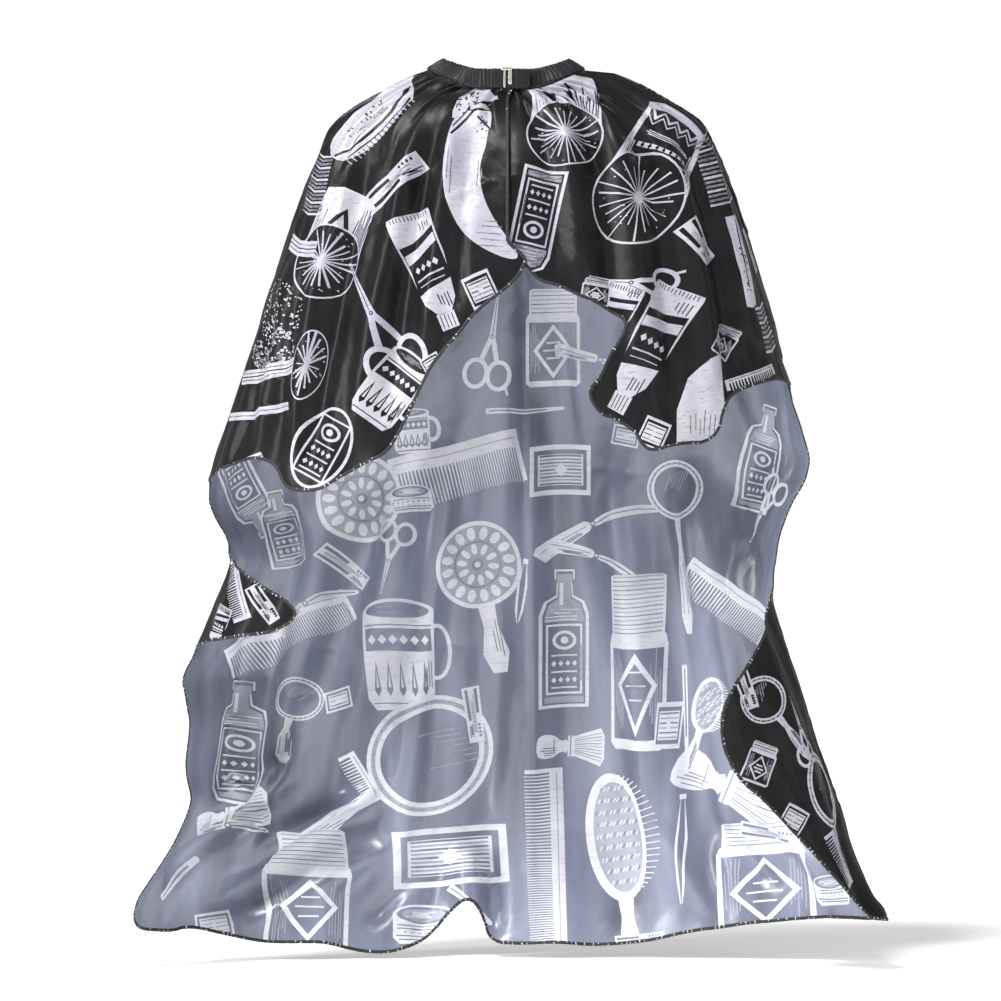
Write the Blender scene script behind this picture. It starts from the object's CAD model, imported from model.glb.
import bpy
import math
import numpy as np
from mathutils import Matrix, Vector
from mathutils.geometry import delaunay_2d_cdt
from mathutils.kdtree import KDTree


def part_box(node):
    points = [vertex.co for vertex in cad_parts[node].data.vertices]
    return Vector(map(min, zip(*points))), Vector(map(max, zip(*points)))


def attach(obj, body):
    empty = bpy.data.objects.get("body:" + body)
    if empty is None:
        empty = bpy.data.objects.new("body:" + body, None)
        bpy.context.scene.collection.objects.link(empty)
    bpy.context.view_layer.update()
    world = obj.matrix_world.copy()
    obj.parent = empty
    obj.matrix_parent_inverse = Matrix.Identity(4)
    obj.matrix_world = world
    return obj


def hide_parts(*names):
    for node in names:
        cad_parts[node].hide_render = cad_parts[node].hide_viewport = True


# A barber cape seen from behind its wearer.  The cloth is one sheet on a closed
# surface S(t, z): t is the turn round the body in degrees, unrolled from the right
# back half's free edge (-104) over the right side (0), the front (90) and the left
# side (180) to the left back half's free edge (274); z is the height in mm.
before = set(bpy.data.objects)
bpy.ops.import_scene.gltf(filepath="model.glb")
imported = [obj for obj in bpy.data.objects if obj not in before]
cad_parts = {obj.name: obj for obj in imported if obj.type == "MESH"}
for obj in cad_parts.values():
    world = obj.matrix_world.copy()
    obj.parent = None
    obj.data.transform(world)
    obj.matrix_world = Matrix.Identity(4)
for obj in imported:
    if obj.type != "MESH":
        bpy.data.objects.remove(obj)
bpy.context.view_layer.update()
MM = 0.001
rng = np.random.default_rng(7)

# ------------------------------------------------------------------ the tables
SIDES = np.array([
    (22.0, 64.9, 73.7), (11.0, 80.3, 96.8), (0.0, 104.5, 124.3), (-11.0, 126.5, 151.8),
    (-22.0, 148.5, 172.7), (-33.0, 169.4, 193.6), (-44.0, 183.7, 211.2),
    (-55.0, 194.7, 220.0), (-66.0, 199.1, 225.5), (-77.0, 203.5, 232.1),
    (-88.0, 207.9, 236.5), (-110.0, 217.8, 245.3), (-132.0, 224.4, 251.9),
    (-154.0, 233.2, 259.6), (-176.0, 240.9, 267.3), (-198.0, 248.6, 273.9),
    (-220.0, 256.3, 280.5), (-242.0, 262.9, 287.1), (-264.0, 269.5, 293.7),
    (-286.0, 276.1, 299.2), (-308.0, 283.8, 303.6), (-330.0, 290.4, 311.3),
    (-352.0, 298.1, 314.6), (-374.0, 304.7, 320.1), (-396.0, 313.5, 325.6),
    (-418.0, 320.1, 332.2), (-440.0, 326.7, 327.8), (-462.0, 328.9, 314.6),
    (-484.0, 323.4, 304.7), (-506.0, 309.1, 298.1), (-528.0, 302.5, 294.8),
    (-550.0, 310.2, 291.5), (-572.0, 320.1, 290.4), (-594.0, 328.9, 297.0),
    (-616.0, 338.8, 303.6), (-638.0, 347.6, 311.3), (-660.0, 357.5, 319.0),
    (-682.0, 353.1, 326.7), (-704.0, 348.7, 334.4), (-726.0, 349.8, 341.0),
    (-748.0, 353.1, 348.7), (-770.0, 352.0, 356.4), (-792.0, 346.5, 363.0),
    (-814.0, 354.2, 370.7), (-836.0, 364.1, 376.2), (-858.0, 376.2, 383.9),
    (-880.0, 391.6, 393.8), (-902.0, 405.9, 403.7), (-915.2, 410.3, 416.9),
    (-935.0, 412.5, 420.2), (-979.0, 412.5, 422.4),
])
DEPTH = np.array([
    (22.0, 50.0, 50.0), (0.0, 55.0, 52.0), (-12.0, 58.0, 55.0), (-30.0, 74.0, 62.0),
    (-60.0, 92.0, 84.0), (-100.0, 108.0, 104.0), (-200.0, 126.0, 126.0),
    (-340.0, 142.0, 142.0), (-448.0, 150.0, 152.0), (-600.0, 140.0, 166.0),
    (-750.0, 128.0, 178.0), (-860.0, 118.0, 180.0), (-930.0, 100.0, 168.0),
    (-979.0, 90.0, 150.0),
])
HEM_LEFT = [
    (20.9, -200.2), (11.0, -221.1), (-33.0, -256.3), (-48.4, -279.4), (-64.9, -295.9),
    (-83.6, -320.1), (-115.5, -386.1), (-128.7, -409.2), (-148.5, -416.9),
    (-181.5, -434.5), (-198.0, -447.7), (-226.6, -449.9), (-243.1, -444.4),
    (-253.0, -420.2), (-272.8, -412.5), (-300.3, -423.5), (-323.4, -434.5),
    (-328.9, -447.7),
]
HEM_RIGHT = [
    (-16.0, -205.0), (20.9, -212.0), (34.1, -221.1), (58.3, -226.6), (79.2, -237.6),
    (95.7, -243.1), (104.5, -286.0), (110.0, -341.0), (118.8, -369.6), (140.8, -385.0),
    (156.2, -407.0), (182.6, -398.2), (229.9, -396.0), (239.8, -352.0),
    (257.4, -335.5), (298.1, -326.7), (312.4, -334.4),
]
# The right hem as it hangs in front of the far panel: two narrow turned-back folds.
HEM_RIGHT = [
    (-16.0, -205.0), (20.9, -200.5), (34.1, -221.1), (58.3, -226.6), (79.2, -237.6),
    (95.7, -243.1), (111.1, -253.0), (129.8, -264.0), (127.6, -279.4), (111.1, -303.6),
    (103.4, -324.5), (86.9, -341.0), (101.2, -366.3), (118.8, -369.6), (140.8, -385.0),
    (145.2, -396.0), (156.2, -407.0), (182.6, -398.2), (229.9, -396.0),
    (237.6, -352.0), (257.4, -338.0), (298.1, -326.7), (312.4, -334.4),
]
BOTTOM = [
    (-410.3, -906.4), (-400.4, -930.6), (-379.5, -944.9), (-350.9, -938.3),
    (-305.8, -952.6), (-249.7, -960.3), (-193.6, -963.6), (-144.1, -974.6),
    (-110.0, -969.1), (-84.7, -953.7), (-59.4, -925.1), (-42.9, -915.2),
    (-26.4, -929.5), (-17.6, -962.5), (15.4, -964.7), (94.6, -965.8), (161.7, -959.2),
    (217.8, -948.2), (273.9, -939.4), (344.3, -929.5), (409.2, -924.0),
    (416.9, -916.3),
]
EDGE_LEFT = [
    (-447.7, 180.0), (-484.0, 176.0), (-514.8, 180.0), (-544.5, 206.0),
    (-572.0, 223.0), (-585.2, 226.0), (-598.4, 223.0), (-609.4, 212.0),
    (-622.6, 182.0), (-649.0, 176.0), (-748.0, 175.0), (-906.4, 178.0),
]
EDGE_RIGHT = [
    (-334.4, 0.0), (-407.0, 3.0), (-506.0, 3.0), (-561.0, 0.0), (-599.5, -18.5),
    (-628.1, -29.0), (-674.3, -43.0), (-720.5, -46.4), (-765.6, -44.3),
    (-785.4, -39.5), (-816.2, -34.0), (-844.8, -28.5), (-872.3, -23.7),
    (-900.9, -19.0), (-916.3, -16.7),
]
NECK_A, NECK_B, NECK_N = 77.0, 55.0, 2.6
BAND_H, BAND_T = 22.0, 4.0
END = math.degrees(math.asin(22.0 / 62.0))


def smooth_table(table, sigma):
    zz = np.arange(-1010.0, 60.0, 1.0)
    cols = []
    k = np.arange(-int(3 * sigma), int(3 * sigma) + 1)
    g = np.exp(-0.5 * (k / sigma) ** 2)
    g /= g.sum()
    for c in (1, 2):
        v = np.interp(zz, table[::-1, 0], table[::-1, c])
        v = np.convolve(np.pad(v, len(k) // 2, mode="edge"), g, mode="valid")
        cols.append(v)
    return zz, cols


SZ, (SL, SR) = smooth_table(SIDES, 5.0)
DZ, (DB, DF) = smooth_table(DEPTH, 12.0)


def ss(f):
    f = np.clip(f, 0.0, 1.0)
    return f * f * (3.0 - 2.0 * f)


def half_widths(z):
    return np.interp(z, SZ, SL), np.interp(z, SZ, SR)


def depths(z):
    return np.interp(z, DZ, DB), np.interp(z, DZ, DF)


def true_angle(t):
    r = np.radians(t)
    flat = np.degrees(np.arctan2(NECK_B * np.sin(r), NECK_A * np.cos(r)))
    return flat + 360.0 * np.round((t - flat) / 360.0)


def band_top(deg):
    d = np.abs((deg - 270.0 + 180.0) % 360.0 - 180.0)
    low = 10.0 + 12.0 * ss((d - 22.0) / 68.0)
    high = 22.0 - 30.0 * ss((d - 90.0) / 90.0)
    return np.where(d <= 90.0, low, high)


def neck_xy(deg, out=0.0):
    c, s = np.cos(np.radians(deg)), np.sin(np.radians(deg))
    r = ((np.abs(c) / (NECK_A + out)) ** NECK_N
         + (np.abs(s) / (NECK_B + out)) ** NECK_N) ** (-1.0 / NECK_N)
    return r * c, r * s


def lean(deg):
    """How far the band leans, foot outwards, where it lies on the neck's slope."""
    return 1.6 * ss((np.cos(np.radians(deg)) ** 2 - 0.10) / 0.9)


def start_z(t):
    a = true_angle(t)
    k = lean(a)
    return band_top(a) - BAND_H / np.sqrt(1.0 + k * k) - 0.5


def base_surface(t, z):
    """The smooth draped surface, before its folds."""
    t = np.asarray(t, float)
    z = np.asarray(z, float)
    c, s = np.cos(np.radians(t)), np.sin(np.radians(t))
    # beside the neck the gathered cloth stands up in a soft roll before it falls
    q = np.maximum(start_z(t) - z, 0.0)
    puff = 3.5 * c * c * (q / 9.0) * np.exp(1.0 - q / 9.0)
    wl, wr = half_widths(z + 0.55 * puff)
    db, df = depths(z)
    # the change from one side's width to the other's is spread over a few degrees
    k = ss((c + 0.25) / 0.5)
    x = (wl * (1 - k) + wr * k) * c
    y = np.where(s < 0, db, df) * s
    w = 1.0 - np.exp(-q / (6.0 - 2.5 * c * c))
    a0 = true_angle(t)
    k0 = lean(a0)
    nx, ny = neck_xy(a0, 11.0 * k0 / np.sqrt(1.0 + k0 * k0))
    x = nx + (x - nx) * w
    y = ny + (y - ny) * w
    zz = z + puff
    lap = 6.0 * ss((t - 238.0) / 24.0)
    r = np.hypot(x, y) + 1e-9
    return np.stack([x * (r + lap) / r, y * (r + lap) / r, zz], axis=-1)


def acos_ext(u):
    """acos that goes on in a straight line past the turn of the side."""
    u = np.asarray(u, float)
    lim = 0.86
    a = np.degrees(np.arccos(np.clip(u, -lim, lim)))
    slope = math.degrees(1.0 / math.sqrt(1.0 - lim * lim))
    return a - np.where(np.abs(u) > lim, np.sign(u) * (np.abs(u) - lim) * slope, 0.0)


# ------------------------------------------------------------------ flat chart
# (p, s) is a nearly undistorted chart of the surface, in mm at radius R0.
R0 = 300.0
_zz = np.arange(-1000.0, 40.5, 0.5)
_wl, _wr = half_widths(_zz)
_db, _df = depths(_zz)
_rho = np.sqrt(((_wl + _wr) ** 2 / 4.0 + (_db + _df) ** 2 / 4.0) / 2.0)
_slope = np.gradient(_rho, _zz)
_step = R0 / _rho * np.sqrt(1.0 + _slope ** 2) * 0.5
_S = np.concatenate([[0.0], np.cumsum((_step[1:] + _step[:-1]) / 2.0)])


def chart(t, z):
    return np.stack([np.radians(t) * R0, np.interp(z, _zz, _S)], axis=-1)


def unchart(ps):
    return np.degrees(ps[..., 0] / R0), np.interp(ps[..., 1], _S, _zz)


def rho(z):
    return np.interp(z, _zz, _rho)


# ------------------------------------------------------------------ the outline
def soften(points, rounds=2):
    """Cuts the corners of an open polyline, its two ends kept."""
    pts = [tuple(p) for p in points]
    for _ in range(rounds):
        new = [pts[0]]
        for a, b in zip(pts, pts[1:]):
            new.append((a[0] * 0.75 + b[0] * 0.25, a[1] * 0.75 + b[1] * 0.25))
            new.append((a[0] * 0.25 + b[0] * 0.75, a[1] * 0.25 + b[1] * 0.75))
        new.append(pts[-1])
        pts = new
    return np.array(pts)


def resample(pts, step):
    pts = np.asarray(pts, float)
    d = np.concatenate([[0.0], np.cumsum(np.hypot(*np.diff(pts, axis=0).T))])
    n = max(2, int(round(d[-1] / step)) + 1)
    u = np.linspace(0.0, d[-1], n)
    return np.stack([np.interp(u, d, pts[:, 0]), np.interp(u, d, pts[:, 1])], axis=-1)


def x_to_t(x, z, behind):
    wl, wr = half_widths(z)
    a = np.where(x < 0, wl, wr)
    t = np.degrees(np.arccos(np.clip(x / a, -1.0, 1.0)))
    return -t if behind else t


def edge_lines():
    """The sheet's seven edges in the chart, one after the other round the sheet."""
    out = {}
    z = np.linspace(float(start_z(274.0)), -200.2, 60)
    x = np.where(z > -176.0, 2.0, 2.0 + 18.9 * ss((-176.0 - z) / 24.0))
    x = 5.3 + (x - 5.3) * ss((-z - 12.0) / 14.0)
    out["opening_left"] = chart(360.0 + x_to_t(x, z, True), z)
    h = soften(HEM_LEFT, 2)
    out["hem_left"] = chart(360.0 + x_to_t(h[:, 0], h[:, 1], True), h[:, 1])
    e = soften([(a, b * 3.0) for a, b in EDGE_LEFT], 2)
    out["side_left"] = chart(e[:, 1] / 3.0, e[:, 0])
    b = soften(BOTTOM, 2)
    t = x_to_t(b[:, 0], b[:, 1], False)
    t0 = x_to_t(np.full(len(b), 350.0), b[:, 1], False)
    t = np.where(b[:, 0] > 350.0, t0 + (-16.7 - t0) * (b[:, 0] - 350.0) / 66.9, t)
    t = np.where(b[:, 0] < -380.0, t + (178.0 - t) * np.clip(
        (-380.0 - b[:, 0]) / 30.3, 0, 1), t)
    out["bottom"] = chart(t, b[:, 1])
    e = soften([(a, b2 * 3.0) for a, b2 in EDGE_RIGHT[::-1]], 2)
    out["side_right"] = chart(e[:, 1] / 3.0, e[:, 0])
    h = soften(HEM_RIGHT[::-1], 2)
    out["hem_right"] = chart(x_to_t(h[:, 0], h[:, 1], True), h[:, 1])
    z1 = -205.0
    t1 = float(x_to_t(np.array(-16.0), np.array(z1), True))
    z0 = float(start_z(-104.0))
    f = np.linspace(1.0, 0.0, 60)
    out["opening_right"] = chart(-104.0 + (t1 + 104.0) * f ** 1.4, z0 + (z1 - z0) * f)
    t = np.linspace(-104.0, 274.0, 760)
    out["neck"] = chart(t, start_z(t))
    return out


EDGE_ORDER = ["opening_left", "hem_left", "side_left", "bottom", "side_right",
              "hem_right", "opening_right", "neck"]
EDGES = edge_lines()
for a, b in zip(EDGE_ORDER, EDGE_ORDER[1:] + EDGE_ORDER[:1]):
    EDGES[b][0] = EDGES[a][-1]


# ------------------------------------------------------------------ the folds
def seg_dist(P, a, b):
    d = b - a
    L = (d * d).sum() + 1e-9
    u = np.clip(((P - a) @ d) / L, 0.0, 1.0)
    v = P - (a + u[:, None] * d)
    return np.hypot(v[:, 0], v[:, 1]), u


def fold_line(P, pts, w, taper=0.25):
    """1 on a polyline and 0 away from it, in the picture plane, with tapered ends."""
    pts = np.asarray(pts, float)
    d = np.concatenate([[0.0], np.cumsum(np.hypot(*np.diff(pts, axis=0).T))])
    best = np.full(len(P), 1e9)
    pos = np.zeros(len(P))
    for i in range(len(pts) - 1):
        r, u = seg_dist(P, pts[i], pts[i + 1])
        m = r < best
        best = np.where(m, r, best)
        pos = np.where(m, (d[i] + u * (d[i + 1] - d[i])) / d[-1], pos)
    ends = ss(pos / taper) * ss((1.0 - pos) / taper)
    return np.exp(-(best / w) ** 2) * ends


def px(x, y):
    return ((x - 506.0) * 1.1, (80.0 - y) * 1.1)


def line_px(*xy):
    return [px(x, y) for x, y in xy]


# (which layer, points in picture units, width mm, height mm: + stands out)
FOLDS = [
    # left back half: sleeve folds, falling from the shoulder
    ("near", line_px((352, 112), (335, 200), (312, 330), (292, 470)), 13, 9),
    ("near", line_px((372, 130), (352, 240), (322, 400), (308, 500)), 11, -8),
    ("near", line_px((415, 112), (398, 220), (372, 330), (352, 470)), 13, 8),
    ("near", line_px((436, 105), (420, 200), (402, 300), (384, 440)), 10, -7),
    ("near", line_px((458, 96), (446, 170), (436, 260), (424, 380)), 11, 7),
    ("near", line_px((478, 98), (470, 160), (462, 240), (456, 330)), 8, -4),
    ("near", line_px((300, 250), (282, 330), (268, 400), (262, 460)), 12, 6),
    ("near", line_px((280, 300), (262, 380), (246, 440), (236, 466)), 10, -5),
    ("near", line_px((495, 180), (470, 190), (440, 205)), 4, 2),
    # right back half
    ("near", line_px((536, 96), (545, 150), (552, 215), (556, 288)), 9, -4),
    ("near", line_px((552, 92), (566, 150), (576, 220), (582, 300)), 11, 7),
    ("near", line_px((574, 90), (594, 160), (606, 240), (614, 320)), 10, -7),
    ("near", line_px((592, 92), (622, 170), (636, 260), (640, 330), (630, 400)), 13, 9),
    ("near", line_px((618, 96), (650, 180), (664, 280), (672, 380), (664, 440)), 11, -7),
    ("near", line_px((648, 104), (682, 200), (702, 310), (708, 440)), 14, 9),
    ("near", line_px((672, 120), (706, 220), (722, 320), (724, 384)), 10, -6),
    ("near", line_px((700, 150), (734, 260), (758, 372)), 12, 6),
    ("near", line_px((585, 130), (600, 172), (588, 205)), 5, -2),
    # far panel: long flutes falling from the chest
    ("far", line_px((522, 300), (524, 420), (530, 560), (534, 720), (536, 950)), 10, -9),
    ("far", line_px((505, 300), (498, 440), (492, 600), (486, 760), (470, 905)), 23, 12),
    ("far", line_px((548, 320), (560, 460), (572, 620), (584, 780), (596, 950)), 23, 12),
    ("far", line_px((452, 400), (440, 520), (420, 660), (400, 800), (384, 940)), 17, -12),
    ("far", line_px((424, 400), (398, 520), (372, 640), (346, 760), (322, 880)), 19, 13),
    ("far", line_px((395, 450), (360, 560), (328, 660), (296, 760)), 14, -9),
    ("far", line_px((610, 420), (626, 560), (640, 700), (652, 830), (662, 948)), 16, -11),
    ("far", line_px((648, 440), (668, 560), (688, 690), (704, 820), (716, 940)), 18, 12),
    ("far", line_px((690, 450), (716, 560), (738, 680), (760, 800)), 13, -8),
    ("far", line_px((724, 450), (752, 560), (772, 660)), 13, 7),
    ("far", line_px((330, 480), (318, 580), (290, 700), (262, 800)), 15, 9),
    ("far", line_px((300, 490), (282, 590), (262, 690), (236, 800), (214, 880)), 13, -9),
    ("far", line_px((262, 560), (248, 650), (228, 760), (204, 850)), 12, 8),
    # diagonals into the lower left corner
    ("far", line_px((352, 806), (300, 832), (252, 858), (205, 890)), 10, -14),
    ("far", line_px((392, 812), (330, 848), (262, 890), (196, 925)), 15, 14),
    ("far", line_px((400, 850), (336, 886), (272, 920), (236, 944)), 12, -9),
    ("far", line_px((300, 780), (240, 822), (190, 862), (150, 900)), 11, 11),
    ("far", line_px((282, 760), (236, 790), (196, 826)), 9, -6),
    ("far", line_px((440, 870), (400, 900), (360, 940)), 11, 7),
    ("far", line_px((300, 724), (274, 784), (240, 846), (218, 876)), 8, -11),
    ("far", line_px((392, 790), (340, 816), (286, 846), (226, 884)), 7, -9),
    ("far", line_px((560, 300), (566, 400), (572, 520)), 10, 6),
    ("far", line_px((690, 500), (700, 580), (706, 640)), 9, -8),
    # the raised arch of the bottom hem
    ("far", line_px((467, 850), (468, 900), (468, 930)), 15, -14),
    ("far", line_px((446, 860), (432, 900), (414, 960)), 13, 9),
    ("far", line_px((488, 850), (494, 900), (496, 958)), 11, 9),
    # lower right
    ("far", line_px((700, 820), (740, 860), (790, 905)), 12, 7),
    ("far", line_px((660, 830), (690, 880), (720, 935)), 11, -6),
    ("far", line_px((740, 790), (790, 840), (850, 900)), 12, -7),
    ("far", line_px((600, 850), (620, 900), (632, 950)), 11, 5),
]
# packing creases: sharp, shallow
CREASES = [
    ("near", line_px((507, 172), (507, 262)), 1.4),
    ("near", line_px((430, 214), (500, 181), (560, 178), (640, 184)), 1.2),
    ("near", line_px((300, 300), (380, 306), (455, 296)), 0.8),
    ("far", line_px((210, 655), (400, 650), (600, 655), (716, 652)), 1.2),
    ("far", line_px((330, 842), (480, 838), (640, 846), (800, 842)), 1.0),
    ("far", line_px((420, 470), (560, 470), (700, 478)), 0.9),
    ("far", line_px((636, 470), (640, 700), (640, 930)), 0.9),
    ("far", line_px((412, 520), (410, 700), (408, 930)), 0.9),
]


def value_noise(u, v, seed):
    """Smooth noise from -1 to 1 with unit cells."""
    r = np.random.default_rng(seed)
    T = r.random((64, 64)) * 2.0 - 1.0
    iu, iv = np.floor(u).astype(int), np.floor(v).astype(int)
    fu, fv = u - iu, v - iv
    fu, fv = fu * fu * (3 - 2 * fu), fv * fv * (3 - 2 * fv)
    a = T[iu % 64, iv % 64] * (1 - fu) + T[(iu + 1) % 64, iv % 64] * fu
    b = T[iu % 64, (iv + 1) % 64] * (1 - fu) + T[(iu + 1) % 64, (iv + 1) % 64] * fu
    return a * (1 - fv) + b * fv


def folds(t, z, base):
    """How far the cloth stands out from the smooth surface, in mm."""
    th = np.radians(t % 360.0)
    q = np.maximum(start_z(t) - z, 0.0)
    s_ = np.sin(th)
    P = base[:, [0, 2]]
    near = ss((-s_ - 0.10) / 0.30)
    far = ss((s_ - 0.10) / 0.30)
    # a side flap turned towards the back isn't part of the back halves
    flap = np.where((z < -540.0) & (s_ < 0.0), 1.0, 0.0)
    near = near * (1.0 - flap)
    d = np.zeros(len(t))
    for layer, pts, w, h in FOLDS:
        m = near if layer == "near" else far
        pick = np.nonzero(m > 0.001)[0]
        k = 1.7 if layer == "far" else 1.45
        d[pick] += k * h * m[pick] * fold_line(P[pick], pts, w)
    for layer, pts, h in CREASES:
        m = near if layer == "near" else far
        pick = np.nonzero(m > 0.001)[0]
        g = fold_line(P[pick], pts, 9.0, 0.15)
        d[pick] += h * m[pick] * np.exp(-np.sqrt(-np.log(np.maximum(g, 1e-9))) * 2.2) \
            * (g > 1e-6)
    # gathers at the neck seam, joining into fewer, deeper folds lower down
    wob = 0.12 * value_noise(th * 9.0, q * 0.012, 5)
    tri = lambda x: np.sin(x + 0.45 * np.sin(x))
    a1 = 3.3 * ss(q / 4.0) * np.exp(-q / 17.0)
    a2 = 3.4 * ss((q - 4.0) / 18.0) * np.exp(-q / 75.0)
    a3 = 3.4 * ss((q - 20.0) / 60.0) * np.exp(-q / 210.0)
    mod = 0.75 + 0.55 * value_noise(th * 7.0 + 3.0, q * 0.02, 9)
    d += 1.25 * mod * (a1 * tri(46 * (th + wob * 0.3)) + a2 * tri(27 * (th + wob)) * 0.9
                + a3 * tri(15 * (th + wob * 1.6) + 1.0))
    # broad flutes of the hanging cloth
    low = ss((-z - 120.0) / 420.0)
    side = 1.0 - 0.75 * np.abs(np.cos(th)) ** 4
    w2 = 0.10 * value_noise(th * 4.0, z * 0.004, 21)
    d += 1.35 * low * side * (4.2 * np.sin(11 * (th + w2) + 0.6) + 2.4 * np.sin(19 * (th + w2) + 2.1)
                       + 1.3 * np.sin(33 * (th + 0.6 * w2)))
    # slack wrinkles, long in the hanging direction
    pw, sw = th * R0, np.interp(z, _zz, _S)
    far_off = ss((q - 15.0) / 80.0)
    d += far_off * (1.5 * value_noise(pw / 34.0 + 11, sw / 95.0, 31)
                    + 0.8 * value_noise(pw / 17.0 + 0.4 * sw / 17.0, sw / 52.0, 32)
                    + 0.35 * value_noise(pw / 9.0, sw / 14.0 + 0.3 * pw / 9.0, 33))
    return 19.0 * np.tanh(d / 19.0)


def surface(t, z, folded=True):
    """(points, unit outward normals) of the cloth's middle, in mm."""
    t = np.asarray(t, float)
    z = np.asarray(z, float)
    e = 0.15

    def put(tt, zz):
        b = base_surface(tt, zz)
        u = base_surface(tt + e, zz) - base_surface(tt - e, zz)
        v = base_surface(tt, zz - 0.6) - base_surface(tt, zz + 0.6)
        n = np.cross(v, u)
        n /= np.linalg.norm(n, axis=1)[:, None] + 1e-12
        if folded:
            b = b + n * folds(tt, zz, b)[:, None]
        return b, n

    b, n0 = put(t, z)
    if not folded:
        return b, n0
    k = 0.30
    bu1, _ = put(t + k, z)
    bu0, _ = put(t - k, z)
    bv1, _ = put(t, z - 1.2)
    bv0, _ = put(t, z + 1.2)
    n = np.cross(bv1 - bv0, bu1 - bu0)
    n /= np.linalg.norm(n, axis=1)[:, None] + 1e-12
    return b, n


# ------------------------------------------------------------------ mesh helpers
def make_object(name, verts, faces, mats, index=None, smooth=True, normals=None):
    me = bpy.data.meshes.new(name)
    me.from_pydata((np.asarray(verts) * MM).tolist(), [], faces)
    me.validate(clean_customdata=False)
    for m in mats:
        me.materials.append(m)
    if index is not None and len(index) == len(me.polygons):
        me.polygons.foreach_set("material_index", np.asarray(index, np.int32))
    me.polygons.foreach_set("use_smooth", np.full(len(me.polygons), smooth))
    me.update()
    if normals is not None and len(normals) == len(me.vertices):
        me.normals_split_custom_set_from_vertices(np.asarray(normals).tolist())
    ob = bpy.data.objects.new(name, me)
    bpy.context.scene.collection.objects.link(ob)
    return ob


def sweep(P, U, V, ru, rv, sides=8, power=1.0, caps=True):
    """A closed tube: section ru along U and rv along V at each point of P (mm)."""
    n = len(P)
    ph = np.linspace(0, 2 * math.pi, sides, endpoint=False)
    cu = np.sign(np.cos(ph)) * np.abs(np.cos(ph)) ** power
    cv = np.sign(np.sin(ph)) * np.abs(np.sin(ph)) ** power
    ru = np.broadcast_to(ru, (n,))[:, None, None]
    rv = np.broadcast_to(rv, (n,))[:, None, None]
    verts = (P[:, None, :] + U[:, None, :] * ru * cu[None, :, None]
             + V[:, None, :] * rv * cv[None, :, None]).reshape(-1, 3)
    i = np.arange(n - 1)[:, None] * sides
    k = np.arange(sides)[None, :]
    k2 = (k + 1) % sides
    faces = np.stack([i + k, i + k2, i + sides + k2, i + sides + k], axis=-1)
    faces = faces.reshape(-1, 4).tolist()
    if caps:
        faces.append(list(range(sides))[::-1])
        faces.append([(n - 1) * sides + j for j in range(sides)])
    return verts, faces


def unit(v):
    return v / (np.linalg.norm(v, axis=1)[:, None] + 1e-12)


def arc_length(P):
    return np.concatenate([[0.0], np.cumsum(np.linalg.norm(np.diff(P, axis=0), axis=1))])


def even(P, step, *more):
    """P and the arrays beside it, resampled evenly along P."""
    d = arc_length(P)
    n = max(3, int(d[-1] / step) + 1)
    u = np.linspace(0, d[-1], n)
    out = [np.stack([np.interp(u, d, A[:, c]) for c in range(A.shape[1])], axis=-1)
           for A in (P,) + more]
    return out


# ------------------------------------------------------------------ materials
def new_material(name):
    m = bpy.data.materials.new(name)
    m.use_nodes = True
    nt = m.node_tree
    b = nt.nodes["Principled BSDF"]
    return m, nt, b


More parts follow.
